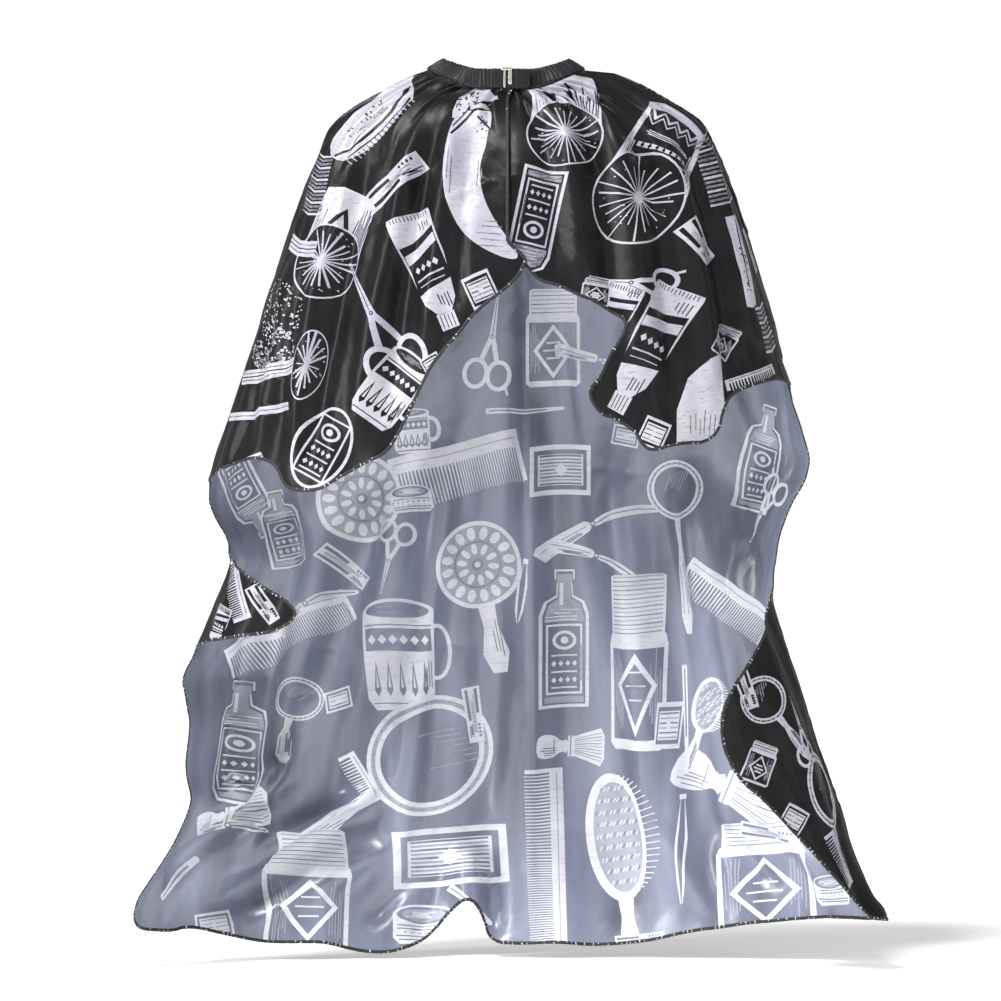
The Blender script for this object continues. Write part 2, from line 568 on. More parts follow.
def cloth_material(name, color, rough, vary, weave=0.12, sheen=0.0, spec=0.5, streak=None,
                   tint=None, scale=26.0, stretch=None):
    """Satin: long float threads that catch the light, with a slow change of shade."""
    m, nt, b = new_material(name)
    b.inputs["Roughness"].default_value = rough
    b.inputs["Specular IOR Level"].default_value = spec
    b.inputs["Sheen Weight"].default_value = sheen
    b.inputs["Sheen Roughness"].default_value = 0.45
    tc = nt.nodes.new("ShaderNodeTexCoord")
    noise = nt.nodes.new("ShaderNodeTexNoise")
    noise.inputs["Scale"].default_value = scale
    noise.inputs["Detail"].default_value = 4.0
    if stretch:
        # the shade changes slowly along the hang of the cloth and quicker across it
        ms = nt.nodes.new("ShaderNodeMapping")
        ms.inputs["Scale"].default_value = stretch
        nt.links.new(tc.outputs["Object"], ms.inputs["Vector"])
        nt.links.new(ms.outputs["Vector"], noise.inputs["Vector"])
    else:
        nt.links.new(tc.outputs["Object"], noise.inputs["Vector"])
    ramp = nt.nodes.new("ShaderNodeValToRGB")
    lo = [c * (1.0 - vary) for c in color]
    hi = [min(1.0, c * (1.0 + vary)) for c in color]
    if tint:
        lo = tint
    ramp.color_ramp.elements[0].position = 0.32
    ramp.color_ramp.elements[0].color = (*lo, 1)
    ramp.color_ramp.elements[1].position = 0.68
    ramp.color_ramp.elements[1].color = (*hi, 1)
    nt.links.new(noise.outputs["Fac"], ramp.inputs["Fac"])
    col = ramp.outputs["Color"]
    if streak:
        # the printed ink is laid in fine lines, thinner in places
        mp = nt.nodes.new("ShaderNodeMapping")
        mp.inputs["Scale"].default_value = (95.0, 260.0, 95.0)
        mp.inputs["Rotation"].default_value = (0.0, 0.5, 0.4)
        nt.links.new(tc.outputs["UV"], mp.inputs["Vector"])
        n2 = nt.nodes.new("ShaderNodeTexNoise")
        n2.inputs["Scale"].default_value = 1.0
        n2.inputs["Detail"].default_value = 3.0
        nt.links.new(mp.outputs["Vector"], n2.inputs["Vector"])
        r2 = nt.nodes.new("ShaderNodeValToRGB")
        r2.color_ramp.elements[0].position = streak[1]
        r2.color_ramp.elements[0].color = (*streak[0], 1)
        r2.color_ramp.elements[1].position = streak[1] + 0.10
        r2.color_ramp.elements[1].color = (1, 1, 1, 1)
        nt.links.new(n2.outputs["Fac"], r2.inputs["Fac"])
        mx = nt.nodes.new("ShaderNodeMix")
        mx.data_type = "RGBA"
        mx.blend_type = "MULTIPLY"
        mx.inputs["Factor"].default_value = 1.0
        nt.links.new(col, mx.inputs["A"])
        nt.links.new(r2.outputs["Color"], mx.inputs["B"])
        col = mx.outputs["Result"]
    nt.links.new(col, b.inputs["Base Color"])
    # weave: two sets of threads 0.8 mm apart, plus a crisp finish
    bumps = []
    for rot in (0.0, math.pi / 2):
        wv = nt.nodes.new("ShaderNodeTexWave")
        wv.wave_type = "BANDS"
        wv.bands_direction = "X" if rot == 0.0 else "Y"
        wv.inputs["Scale"].default_value = 420.0 if rot == 0.0 else 260.0
        wv.inputs["Distortion"].default_value = 0.6
        nt.links.new(tc.outputs["UV"], wv.inputs["Vector"])
        bumps.append(wv.outputs["Fac"])
    add = nt.nodes.new("ShaderNodeMath")
    add.operation = "ADD"
    nt.links.new(bumps[0], add.inputs[0])
    nt.links.new(bumps[1], add.inputs[1])
    fine = nt.nodes.new("ShaderNodeTexNoise")
    fine.inputs["Scale"].default_value = 130.0
    fine.inputs["Detail"].default_value = 3.0
    nt.links.new(tc.outputs["Object"], fine.inputs["Vector"])
    bp = nt.nodes.new("ShaderNodeBump")
    bp.inputs["Strength"].default_value = weave
    bp.inputs["Distance"].default_value = 0.0001
    nt.links.new(add.outputs["Value"], bp.inputs["Height"])
    bp2 = nt.nodes.new("ShaderNodeBump")
    bp2.inputs["Strength"].default_value = 0.30
    bp2.inputs["Distance"].default_value = 0.0006
    nt.links.new(fine.outputs["Fac"], bp2.inputs["Height"])
    nt.links.new(bp.outputs["Normal"], bp2.inputs["Normal"])
    nt.links.new(bp2.outputs["Normal"], b.inputs["Normal"])
    return m


def thread_material(name, color, rough=0.62, scale=900.0):
    m, nt, b = new_material(name)
    b.inputs["Roughness"].default_value = rough
    tc = nt.nodes.new("ShaderNodeTexCoord")
    no = nt.nodes.new("ShaderNodeTexNoise")
    no.inputs["Scale"].default_value = scale
    no.inputs["Detail"].default_value = 2.0
    nt.links.new(tc.outputs["Object"], no.inputs["Vector"])
    rp = nt.nodes.new("ShaderNodeValToRGB")
    rp.color_ramp.elements[0].position = 0.35
    rp.color_ramp.elements[0].color = (*[c * 0.6 for c in color], 1)
    rp.color_ramp.elements[1].position = 0.7
    rp.color_ramp.elements[1].color = (*[min(1.0, c * 1.5) for c in color], 1)
    nt.links.new(no.outputs["Fac"], rp.inputs["Fac"])
    nt.links.new(rp.outputs["Color"], b.inputs["Base Color"])
    bp = nt.nodes.new("ShaderNodeBump")
    bp.inputs["Strength"].default_value = 0.5
    bp.inputs["Distance"].default_value = 0.0003
    nt.links.new(no.outputs["Fac"], bp.inputs["Height"])
    nt.links.new(bp.outputs["Normal"], b.inputs["Normal"])
    return m


def metal_material(name):
    m, nt, b = new_material(name)
    b.inputs["Metallic"].default_value = 1.0
    tc = nt.nodes.new("ShaderNodeTexCoord")
    no = nt.nodes.new("ShaderNodeTexNoise")
    no.inputs["Scale"].default_value = 700.0
    no.inputs["Detail"].default_value = 3.0
    nt.links.new(tc.outputs["Object"], no.inputs["Vector"])
    rp = nt.nodes.new("ShaderNodeValToRGB")
    rp.color_ramp.elements[0].color = (0.62, 0.58, 0.50, 1)
    rp.color_ramp.elements[1].color = (0.93, 0.90, 0.82, 1)
    nt.links.new(no.outputs["Fac"], rp.inputs["Fac"])
    nt.links.new(rp.outputs["Color"], b.inputs["Base Color"])
    rr = nt.nodes.new("ShaderNodeMapRange")
    rr.inputs["To Min"].default_value = 0.18
    rr.inputs["To Max"].default_value = 0.36
    nt.links.new(no.outputs["Fac"], rr.inputs["Value"])
    nt.links.new(rr.outputs["Result"], b.inputs["Roughness"])
    return m


M_OUT = cloth_material("satin_black", (0.009, 0.009, 0.0100), 0.34, 0.25, spec=0.18,
                       sheen=0.02)
M_OUT_INK = cloth_material("print_white", (0.48, 0.475, 0.51), 0.38, 0.04,
                           tint=(0.36, 0.355, 0.43), scale=14.0,
                           streak=((0.74, 0.74, 0.80), 0.34))
M_OUT_MID = cloth_material("print_grey", (0.23, 0.225, 0.26), 0.42, 0.20,
                           streak=((0.45, 0.45, 0.50), 0.46))
M_IN = cloth_material("satin_inside", (0.172, 0.190, 0.262), 0.33, 0.38, sheen=0.04,
                      spec=1.0, scale=9.0, stretch=(2.2, 2.2, 0.35))
M_IN_INK = cloth_material("print_inside", (0.72, 0.72, 0.77), 0.38, 0.08,
                          streak=((0.86, 0.87, 0.92), 0.36))
M_IN_MID = cloth_material("print_inside_grey", (0.37, 0.38, 0.445), 0.40, 0.14)
M_THREAD = thread_material("thread_black", (0.014, 0.014, 0.016))
M_FLECK = thread_material("thread_white", (0.62, 0.62, 0.66))
M_BAND = cloth_material("band_black", (0.010, 0.010, 0.0115), 0.42, 0.30, spec=0.3,
                        sheen=0.04)
M_ELASTIC = thread_material("elastic_white", (0.66, 0.66, 0.64), 0.8, 500.0)
M_RIBBON = thread_material("ribbon_black", (0.02, 0.02, 0.022), 0.5, 1200.0)
M_METAL = metal_material("clip_nickel")

# ------------------------------------------------------------------ the print
ART = []          # (chart polygon, value)


def area2(poly):
    x, y = poly[:, 0], poly[:, 1]
    return float((x * np.roll(y, -1) - np.roll(x, -1) * y).sum())




# Places on the print are given in picture units: 1.1 mm, x from the left and y down,
# seen from behind.  "near" is the back halves and the turned flaps, "far" the panel.
CAM_D, CAM_E = 8000.0, math.radians(1.5)
AIM_X, AIM_Z = -6.05, -462.6


class Pen:
    """Draws flat shapes in a turned and scaled frame; later shapes cover earlier ones."""

    def __init__(self, layer, cx, cy, ang=0.0, s=1.0, sy=None, half=None):
        self.layer, self.cx, self.cy = layer, cx, cy
        self.a, self.sx, self.sy = math.radians(ang), s, s if sy is None else sy
        self.half = half

    def put(self, pts):
        p = np.asarray(pts, float) * (self.sx, self.sy)
        c, s_ = math.cos(self.a), math.sin(self.a)
        return np.stack([self.cx + p[:, 0] * c - p[:, 1] * s_,
                         self.cy + p[:, 0] * s_ + p[:, 1] * c], axis=-1)

    def poly(self, pts, v=1, smooth=0):
        p = self.put(pts)
        for _ in range(smooth):
            q = np.roll(p, -1, axis=0)
            p = np.stack([p * 0.75 + q * 0.25, p * 0.25 + q * 0.75], axis=1).reshape(-1, 2)
        q = np.roll(p, -1, axis=0)
        out = []
        for a, b in zip(p, q):
            n = max(1, int(np.hypot(*(b - a)) / 11.0))
            for i in range(n):
                out.append(a + (b - a) * i / n)
        out = np.array(out)
        if self.layer == "near":
            mid = self.cx if self.half is None else self.half
            xx = out.copy()
            ch = to_chart_side(xx, self.layer, mid)
        else:
            ch = to_chart_side(out, self.layer, 0)
        if abs(area2(ch)) < 0.15:
            return
        if area2(ch) < 0:
            ch = ch[::-1]
        ART.append((ch, v))

    def ell(self, cx, cy, rx, ry, v=1, rot=0.0, n=None):
        n = n or int(np.clip(6 + max(rx * self.sx, ry * self.sy) * 1.1, 6, 40))
        a = np.linspace(0, 2 * math.pi, n, endpoint=False)
        c, s_ = math.cos(math.radians(rot)), math.sin(math.radians(rot))
        x, y = rx * np.cos(a), ry * np.sin(a)
        self.poly(np.stack([cx + x * c - y * s_, cy + x * s_ + y * c], axis=-1), v)

    def rect(self, x0, y0, x1, y1, v=1):
        self.poly([(x0, y0), (x1, y0), (x1, y1), (x0, y1)], v)

    def line(self, pts, w=1.2, v=1, taper=False):
        p = np.asarray(pts, float)
        for i in range(len(p) - 1):
            d = p[i + 1] - p[i]
            L = np.hypot(*d)
            if L < 1e-6:
                continue
            n = np.array([-d[1], d[0]]) / L * w / 2.0
            e = d / L * (w * 0.22 if len(p) > 2 else 0.0)
            if taper:
                self.poly([p[i] + n, p[i] - n, p[i + 1]], v)
            else:
                self.poly([p[i] + n - e, p[i] - n - e, p[i + 1] - n + e, p[i + 1] + n + e], v)

    def ring(self, cx, cy, rx, ry, w, v=1, a0=0.0, a1=360.0, n=None):
        n = n or int(np.clip(8 + max(rx, ry) * (a1 - a0) / 360.0, 6, 36))
        a = np.radians(np.linspace(a0, a1, n + 1))
        for i in range(n):
            q = []
            for r, j in ((w / 2, i), (w / 2, i + 1), (-w / 2, i + 1), (-w / 2, i)):
                q.append((cx + (rx + r) * math.cos(a[j]), cy + (ry + r) * math.sin(a[j])))
            self.poly(q, v)

    def hatch(self, x0, y0, x1, y1, n, w=1.0, v=0, rows=True, ragged=0.35):
        """n thin lines side by side across a rectangle, with ragged ends."""
        for i in range(n):
            f = (i + 0.5) / n + rng.uniform(-0.12, 0.12) / n
            g0, g1 = rng.uniform(0, ragged), 1.0 - rng.uniform(0, ragged)
            if rows:
                y = y0 + (y1 - y0) * f
                self.line([(x0 + (x1 - x0) * g0, y), (x0 + (x1 - x0) * g1, y)], w, v)
            else:
                x = x0 + (x1 - x0) * f
                self.line([(x, y0 + (y1 - y0) * g0), (x, y0 + (y1 - y0) * g1)], w, v)

    def specks(self, cx, cy, rx, ry, n, r=1.0, v=1):
        for _ in range(n):
            a, q = rng.uniform(0, 6.28), math.sqrt(rng.random())
            x, y = cx + rx * q * math.cos(a), cy + ry * q * math.sin(a)
            k = r * rng.uniform(0.6, 1.3)
            t = rng.uniform(0, 3.14)
            self.poly([(x + k * math.cos(t + j * 2.09) * (1.6 if j == 0 else 0.8),
                        y + k * math.sin(t + j * 2.09)) for j in range(3)], v)


def to_chart_side(xy, layer, mid):
    X, Z = (xy[:, 0] - 506.0) * 1.1, (80.0 - xy[:, 1]) * 1.1
    Y = np.zeros(len(X))
    sign = -1.0 if layer == "near" else 1.0
    c = np.zeros(len(X))
    z = Z
    for _ in range(4):
        k = (CAM_D + Y) / CAM_D
        x = AIM_X + (X - AIM_X) * k
        z = AIM_Z + (Z - AIM_Z) * k - Y * math.tan(CAM_E)
        wl, wr = half_widths(z)
        b = ss((c + 0.25) / 0.5)
        a = wl * (1 - b) + wr * b
        tau = acos_ext(x / a)
        c = np.cos(np.radians(tau))
        db, df = depths(z)
        Y = sign * (db if sign < 0 else df) * np.abs(np.sin(np.radians(tau)))
    if layer == "near":
        tau = 360.0 - tau if mid < 507.5 else -tau
    return chart(tau, z)


def lozenges(p, x0, x1, y, n, r, v):
    for i in range(n):
        x = x0 + (x1 - x0) * (i + 0.5) / n
        p.poly([(x - r, y), (x, y - r * 1.3), (x + r, y), (x, y + r * 1.3)], v)


def label(p, x0, y0, x1, y1):
    """A plain dark label with a border, a medallion and rows of ornament."""
    w, h = x1 - x0, y1 - y0
    p.rect(x0, y0, x1, y1, 0)
    p.rect(x0 + 0.05 * w, y0 + 0.03 * h, x1 - 0.05 * w, y1 - 0.03 * h, 1)
    p.rect(x0 + 0.10 * w, y0 + 0.06 * h, x1 - 0.10 * w, y1 - 0.06 * h, 0)
    cx = (x0 + x1) / 2
    p.ell(cx, y0 + 0.25 * h, 0.30 * w, 0.13 * h, 1)
    p.ell(cx, y0 + 0.25 * h, 0.22 * w, 0.09 * h, 0)
    p.ell(cx, y0 + 0.25 * h, 0.10 * w, 0.05 * h, 1)
    for k, y in enumerate((0.45, 0.56, 0.67, 0.78, 0.88)):
        if k % 2:
            lozenges(p, x0 + 0.16 * w, x1 - 0.16 * w, y0 + y * h, 4, 0.045 * w + 0.6, 1)
        else:
            p.line([(x0 + 0.18 * w, y0 + y * h), (x1 - 0.18 * w, y0 + y * h)], 1.6, 1)


def bottle(p, w, h):
    """Square-shouldered bottle standing up, neck at the top."""
    out = [(-w / 2, h / 2), (-w / 2, -h * 0.18), (-w * 0.40, -h * 0.27), (-w * 0.17, -h * 0.31),
           (-w * 0.15, -h * 0.42), (-w * 0.20, -h * 0.43), (-w * 0.20, -h / 2), (w * 0.20, -h / 2),
           (w * 0.20, -h * 0.43), (w * 0.15, -h * 0.42), (w * 0.17, -h * 0.31),
           (w * 0.40, -h * 0.27), (w / 2, -h * 0.18), (w / 2, h / 2)]
    p.poly(out, 1)
    inn = [(x * 0.86, y * 0.955 if y > 0 else y * 0.985 + 1.0) for x, y in out]
    p.poly(inn, 0)
    p.poly([(x * 0.78, y * 0.93 if y > 0 else y * 0.96 + 2.0) for x, y in out], 2)
    p.rect(-w * 0.10, -h * 0.40, -w * 0.03, -h * 0.24, 1)
    p.hatch(-w * 0.40, -h * 0.22, w * 0.40, -h * 0.10, 5, 1.0, 1)
    label(p, -w * 0.40, -h * 0.12, w * 0.40, h * 0.42)
    p.hatch(w * 0.28, -h * 0.10, w * 0.40, h * 0.40, 3, 0.9, 0, rows=False)


def spokes(p, cx, cy, rx, ry, n=20, rot=0.0):
    """The end of a fluted can: dark disc, bright hub and spokes."""
    p.ell(cx, cy, rx, ry, 1, rot, 36)
    p.ell(cx, cy, rx * 0.955, ry * 0.955, 0, rot, 36)
    c, s_ = math.cos(math.radians(rot)), math.sin(math.radians(rot))
    for i in range(n):
        a = 2 * math.pi * i / n + rng.uniform(-0.06, 0.06)
        r0, r1 = 0.10, rng.uniform(0.62, 0.97)
        q = [(rx * r * math.cos(a), ry * r * math.sin(a)) for r in (r0, r1)]
        q = [(cx + x * c - y * s_, cy + x * s_ + y * c) for x, y in q]
        p.line(q, rng.uniform(0.9, 1.8), 1)
    p.specks(cx, cy, rx * 0.85, ry * 0.85, 26, 0.9, 1)
    p.ell(cx, cy, rx * 0.13, ry * 0.13, 1, rot)


def fluted_can(p, w, h, dark=False):
    """A can lying towards the viewer: body with a zigzag border, spoked end below."""
    k = 0.34 * h
    body = [(-w * 0.40, -h / 2 + 6), (-w * 0.2, -h / 2), (w * 0.2, -h / 2),
            (w * 0.40, -h / 2 + 6), (w / 2, h / 2 - k), (-w / 2, h / 2 - k)]
    p.poly(body, 1)
    if dark:
        p.poly([(x * 0.86, y * 0.90 if y < 0 else y * 0.92) for x, y in body], 0)
        z = -h * 0.40
        zig = [(-w * 0.34 + w * 0.68 * i / 8, z + (4 if i % 2 else -4)) for i in range(9)]
        p.line(zig, 2.2, 1)
        p.line([(a, b + 6) for a, b in zig], 1.2, 1)
        for r in range(5):
            y = -h * 0.27 + r * h * 0.075
            if r % 2:
                p.rect(-w * 0.30, y - 1.8, w * 0.30, y + 1.8, 1)
                lozenges(p, -w * 0.28, w * 0.28, y, 7, 1.8, 0)
            else:
                p.hatch(-w * 0.36, y - 3.0, w * 0.36, y + 3.0, 3, 1.0, 1)
        p.hatch(-w * 0.44, -h * 0.3, -w * 0.33, h * 0.10, 4, 1.2, 1, rows=False)
        p.hatch(w * 0.33, -h * 0.3, w * 0.44, h * 0.10, 4, 1.2, 1, rows=False)
    else:
        p.hatch(w * 0.12, -h * 0.42, w * 0.44, h * 0.14, 9, 1.1, 0, rows=False)
        p.hatch(-w * 0.42, -h * 0.30, -w * 0.24, h * 0.14, 4, 1.0, 2, rows=False)
        p.poly([(-w * 0.05, -h * 0.34), (w * 0.08, -h * 0.16), (-w * 0.05, 0), (-w * 0.18, -h * 0.16)], 0)
        p.poly([(-w * 0.05, -h * 0.28), (w * 0.03, -h * 0.16), (-w * 0.05, -h * 0.05), (-w * 0.13, -h * 0.16)], 1)
    zig = [(-w * 0.46 + w * 0.92 * i / 6, h / 2 - k - 6 + (6 if i % 2 else -5)) for i in range(7)]
    p.line(zig, 2.0, 0)
    spokes(p, 0, h / 2 - k, w * 0.52, k * 0.98, 22)


def scissors(p, L):
    """Closed shears pointing down, rings at the top."""
    r = L * 0.115
    for s_ in (-1, 1):
        p.ring(s_ * L * 0.12, -L * 0.37, r, r * 1.25, L * 0.035 + 1.0, 1)
        p.line([(s_ * L * 0.085, -L * 0.24), (s_ * L * 0.035, -L * 0.06), (0, L * 0.04)],
               L * 0.035 + 1.6, 1)
    p.line([(-L * 0.20, -L * 0.46), (-L * 0.24, -L * 0.56)], 2.4, 1)
    p.poly([(-L * 0.035, 0), (L * 0.035, 0), (L * 0.012, L * 0.5), (-L * 0.004, L * 0.5)], 1)
    p.line([(0, L * 0.04), (L * 0.004, L * 0.48)], 0.9, 0)
    p.ell(0, L * 0.03, 2.2, 2.2, 0)
    p.ell(0, L * 0.03, 1.1, 1.1, 1)


def comb(p, L, W, gap=3.2, tail=0.0, fine=0.5):
    """Teeth downwards from a spine along x; part of the length is set finer."""
    b = W * 0.34
    p.poly([(-L / 2, -W / 2 + 2), (-L / 2 + 3, -W / 2), (L / 2 - 3, -W / 2), (L / 2, -W / 2 + 2),
            (L / 2, -W / 2 + b), (-L / 2, -W / 2 + b)], 1)
    p.line([(-L / 2 + 3, -W / 2 + b * 0.45), (L / 2 - 3, -W / 2 + b * 0.5)], 1.0, 2)
    x = -L / 2
    p.rect(-L / 2, -W / 2, -L / 2 + 4, W / 2 - 1, 1)
    p.rect(L / 2 - 4, -W / 2, L / 2, W / 2 - 1, 1)
    x = -L / 2 + 6
    while x < L / 2 - 5:
        g = gap if x < (-L / 2 + L * fine) else gap * 0.72
        p.poly([(x, -W / 2 + b - 0.5), (x + g * 0.55, -W / 2 + b - 0.5),
                (x + g * 0.40, W / 2 + rng.uniform(-1, 1)), (x + g * 0.15, W / 2)], 1)
        x += g
    if tail:
        p.poly([(L / 2 - 2, -W / 2), (L / 2 + tail, -W * 0.30), (L / 2 + tail, -W * 0.20),
                (L / 2 - 2, -W / 2 + b)], 1)


def hand_mirror(p, R, H, ry=None):
    """Round mirror at the top, handle hanging below."""
    ry = ry or R
    p.poly([(-R * 0.16, ry * 0.9), (-R * 0.11, ry + H * 0.22), (-R * 0.22, ry + H * 0.45),
            (-R * 0.24, ry + H * 0.85), (-R * 0.10, ry + H), (R * 0.10, ry + H),
            (R * 0.24, ry + H * 0.85), (R * 0.22, ry + H * 0.45), (R * 0.11, ry + H * 0.22),
            (R * 0.16, ry * 0.9)], 1)
    p.hatch(R * 0.02, ry + H * 0.30, R * 0.20, ry + H * 0.92, 3, 1.0, 0, rows=False)
    p.line([(-R * 0.14, ry + H * 0.42), (-R * 0.15, ry + H * 0.82)], 1.1, 2)
    p.ell(0, 0, R, ry, 1)
    p.ell(0, 0, R * 0.93, ry * 0.93, 2)
    p.ell(0, 0, R * 0.86, ry * 0.86, 1)
    p.ell(0, 0, R * 0.78, ry * 0.78, 0)
    for k in range(7):
        o = -0.42 + k * 0.11
        q = 0.70 * math.sqrt(max(0.05, 1 - (o / 0.78) ** 2))
        a, b = rng.uniform(-0.2, 0.6) * q, q
        p.line([(R * (o + a * 0.45), -ry * a), (R * (o + b * 0.45) * 0.98, -ry * b * 0.9)],
               1.1, 2)
    for k in range(28):
        a = 2 * math.pi * k / 28
        p.ell(R * 0.895 * math.cos(a), ry * 0.895 * math.sin(a), 1.0, 1.0, 0, n=5)


def hairbrush(p, L, W, handle):
    """Oval bristle brush above its handle."""
    for i in range(26):
        a = math.pi * (0.02 + 0.96 * i / 25)
        x0, y0 = W * 0.40 * math.sin(a), -L * 0.42 * math.cos(a)
        p.line([(x0, y0), (x0 + W * 0.30 * math.sin(a) + 3, y0 - L * 0.05 * math.cos(a) - 2)],
               1.1, 1)
    p.ell(0, 0, W / 2, L / 2, 1)
    p.ell(W * 0.03, 0, W * 0.40, L * 0.43, 2)
    for r in range(9):
        y = -L * 0.36 + r * L * 0.09
        half = W * 0.36 * math.sqrt(max(0.0, 1 - (y / (L * 0.43)) ** 2))
        m = max(1, int(half / 3.4))
        for c in range(-m, m + 1):
            x = c * half / m * 0.92 + (1.4 if r % 2 else 0)
            p.line([(x, y), (x + 2.4, y - 4.2)], 1.2, 1 if (r + c) % 3 else 0)
    p.poly([(-W * 0.13, L * 0.46), (W * 0.13, L * 0.46), (W * 0.10, L * 0.62),
            (W * 0.17, L * 0.5 + handle * 0.6), (W * 0.13, L * 0.5 + handle * 0.95), (0, L * 0.5 + handle),
            (-W * 0.13, L * 0.5 + handle * 0.95), (-W * 0.17, L * 0.5 + handle * 0.6),
            (-W * 0.10, L * 0.62)], 1)
    p.hatch(-W * 0.02, L * 0.62, W * 0.11, L * 0.48 + handle * 0.9, 3, 1.0, 0, rows=False)


def shaving_brush(p, L, W):
    """Bristles fanned at the top, turned handle below."""
    p.poly([(-W / 2, -L / 2 + 4), (-W * 0.3, -L / 2), (W * 0.3, -L / 2), (W / 2, -L / 2 + 4),
            (W * 0.24, -L * 0.02), (-W * 0.24, -L * 0.02)], 1)
    for i in range(9):
        f = -1 + 2 * (i + 0.5) / 9
        p.line([(f * W * 0.42, -L * 0.46), (f * W * 0.2, -L * 0.05)], 0.9, 0 if i % 2 else 2)
    p.rect(-W * 0.27, -L * 0.04, W * 0.27, L * 0.05, 1)
    p.line([(-W * 0.27, L * 0.01), (W * 0.27, L * 0.01)], 1.2, 0)
    p.poly([(-W * 0.20, L * 0.05), (W * 0.20, L * 0.05), (W * 0.12, L * 0.14), (W * 0.30, L * 0.26),
            (W * 0.32, L * 0.42), (W * 0.22, L / 2), (-W * 0.22, L / 2), (-W * 0.32, L * 0.42),
            (-W * 0.30, L * 0.26), (-W * 0.12, L * 0.14)], 1, smooth=1)
    p.hatch(W * 0.02, L * 0.20, W * 0.26, L * 0.46, 4, 1.0, 0, rows=False)
    p.line([(-W * 0.2, L * 0.25), (W * 0.2, L * 0.25)], 1.0, 0)


def straight_razor(p, L):
    """Open razor: blade to the left, handle curving down to the right."""
    p.poly([(-L * 0.5, -L * 0.06), (-L * 0.46, -L * 0.09), (-L * 0.05, -L * 0.05), (0, 0),
            (-L * 0.05, L * 0.035), (-L * 0.47, L * 0.05)], 1)
    p.line([(-L * 0.45, -L * 0.035), (-L * 0.06, -L * 0.008)], 1.2, 2)
    p.hatch(-L * 0.44, 0.0, -L * 0.08, L * 0.03, 3, 0.9, 0)
    p.poly([(0, -L * 0.02), (L * 0.18, -L * 0.01), (L * 0.36, L * 0.06), (L * 0.5, L * 0.17),
            (L * 0.49, L * 0.22), (L * 0.33, L * 0.13), (L * 0.16, L * 0.055), (-L * 0.01, L * 0.03)],
           1, smooth=1)
    p.line([(L * 0.03, L * 0.012), (L * 0.18, L * 0.022), (L * 0.34, L * 0.09), (L * 0.46, L * 0.175)], 1.1, 0)
    p.ell(0, 0, 3.0, 3.0, 0)
    p.ell(0, 0, 1.6, 1.6, 1)


def mug(p, w, h):
    """A shaving mug with a rim, a handle on the right and a ring of ornament."""
    p.ring(w * 0.52, -h * 0.02, w * 0.20, h * 0.24, 4.0, 1, -100, 110)
    p.poly([(-w / 2, -h * 0.40), (w / 2, -h * 0.40), (w * 0.46, h * 0.38), (w * 0.36, h * 0.48),
            (-w * 0.36, h * 0.48), (-w * 0.46, h * 0.38)], 1)
    p.ell(0, -h * 0.40, w / 2, h * 0.10, 1)
    p.ell(0, -h * 0.40, w * 0.43, h * 0.07, 0)
    p.hatch(-w * 0.36, -h * 0.44, w * 0.3, -h * 0.37, 3, 0.9, 2)
    p.rect(-w * 0.44, -h * 0.24, w * 0.44, -h * 0.04, 0)
    lozenges(p, -w * 0.42, w * 0.42, -h * 0.14, 6, w * 0.055, 1)
    p.line([(-w * 0.45, -h * 0.27), (w * 0.45, -h * 0.27)], 1.2, 0)
    for i in range(5):
        x = -w * 0.32 + i * w * 0.16
        p.poly([(x - 3, h * 0.30), (x, h * 0.04), (x + 3, h * 0.30), (x, h * 0.36)], 0)
        p.poly([(x - 1.2, h * 0.28), (x, h * 0.12), (x + 1.2, h * 0.28)], 1)
    p.hatch(w * 0.30, h * 0.02, w * 0.44, h * 0.36, 4, 1.0, 0, rows=False)
    p.line([(-w * 0.40, h * 0.42), (w * 0.40, h * 0.42)], 1.1, 0)


def jar(p, w, h, lid=0.2):
    """A screw-topped jar with a plain lozenge label."""
    y0 = -h / 2
    p.poly([(-w * 0.46, y0 + h * lid), (w * 0.46, y0 + h * lid), (w / 2, y0 + h * (lid + 0.06)),
            (w / 2, h * 0.46), (w * 0.42, h / 2), (-w * 0.42, h / 2), (-w / 2, h * 0.46),
            (-w / 2, y0 + h * (lid + 0.06))], 1)
    p.rect(-w * 0.44, y0 + h * (lid + 0.08), w * 0.44, h * 0.44, 0)
    p.hatch(-w * 0.42, y0 + h * (lid + 0.08), -w * 0.24, h * 0.42, 5, 1.0, 2, rows=False)
    p.hatch(w * 0.24, y0 + h * (lid + 0.08), w * 0.42, h * 0.42, 5, 1.0, 2, rows=False)
    p.poly([(0, y0 + h * (lid + 0.10)), (w * 0.36, h * 0.13), (0, h * 0.42), (-w * 0.36, h * 0.13)], 1)
    p.poly([(0, y0 + h * (lid + 0.16)), (w * 0.28, h * 0.13), (0, h * 0.36), (-w * 0.28, h * 0.13)], 0)
    for k in (-1, 0, 1):
        p.line([(-w * (0.18 - 0.06 * abs(k)), h * (0.13 + 0.08 * k)), (w * (0.18 - 0.06 * abs(k)), h * (0.13 + 0.08 * k))],
               1.8, 1)
    p.poly([(-w * 0.44, y0 + 2), (-w * 0.38, y0), (w * 0.38, y0), (w * 0.44, y0 + 2),
            (w * 0.44, y0 + h * lid), (-w * 0.44, y0 + h * lid)], 1)
    n = max(3, int(h * lid / 4.0))
    for i in range(n):
        y = y0 + h * lid * (i + 0.6) / n
        p.line([(-w * 0.40, y), (w * 0.40, y - 0.8)], 1.0, 0 if i % 2 else 2)


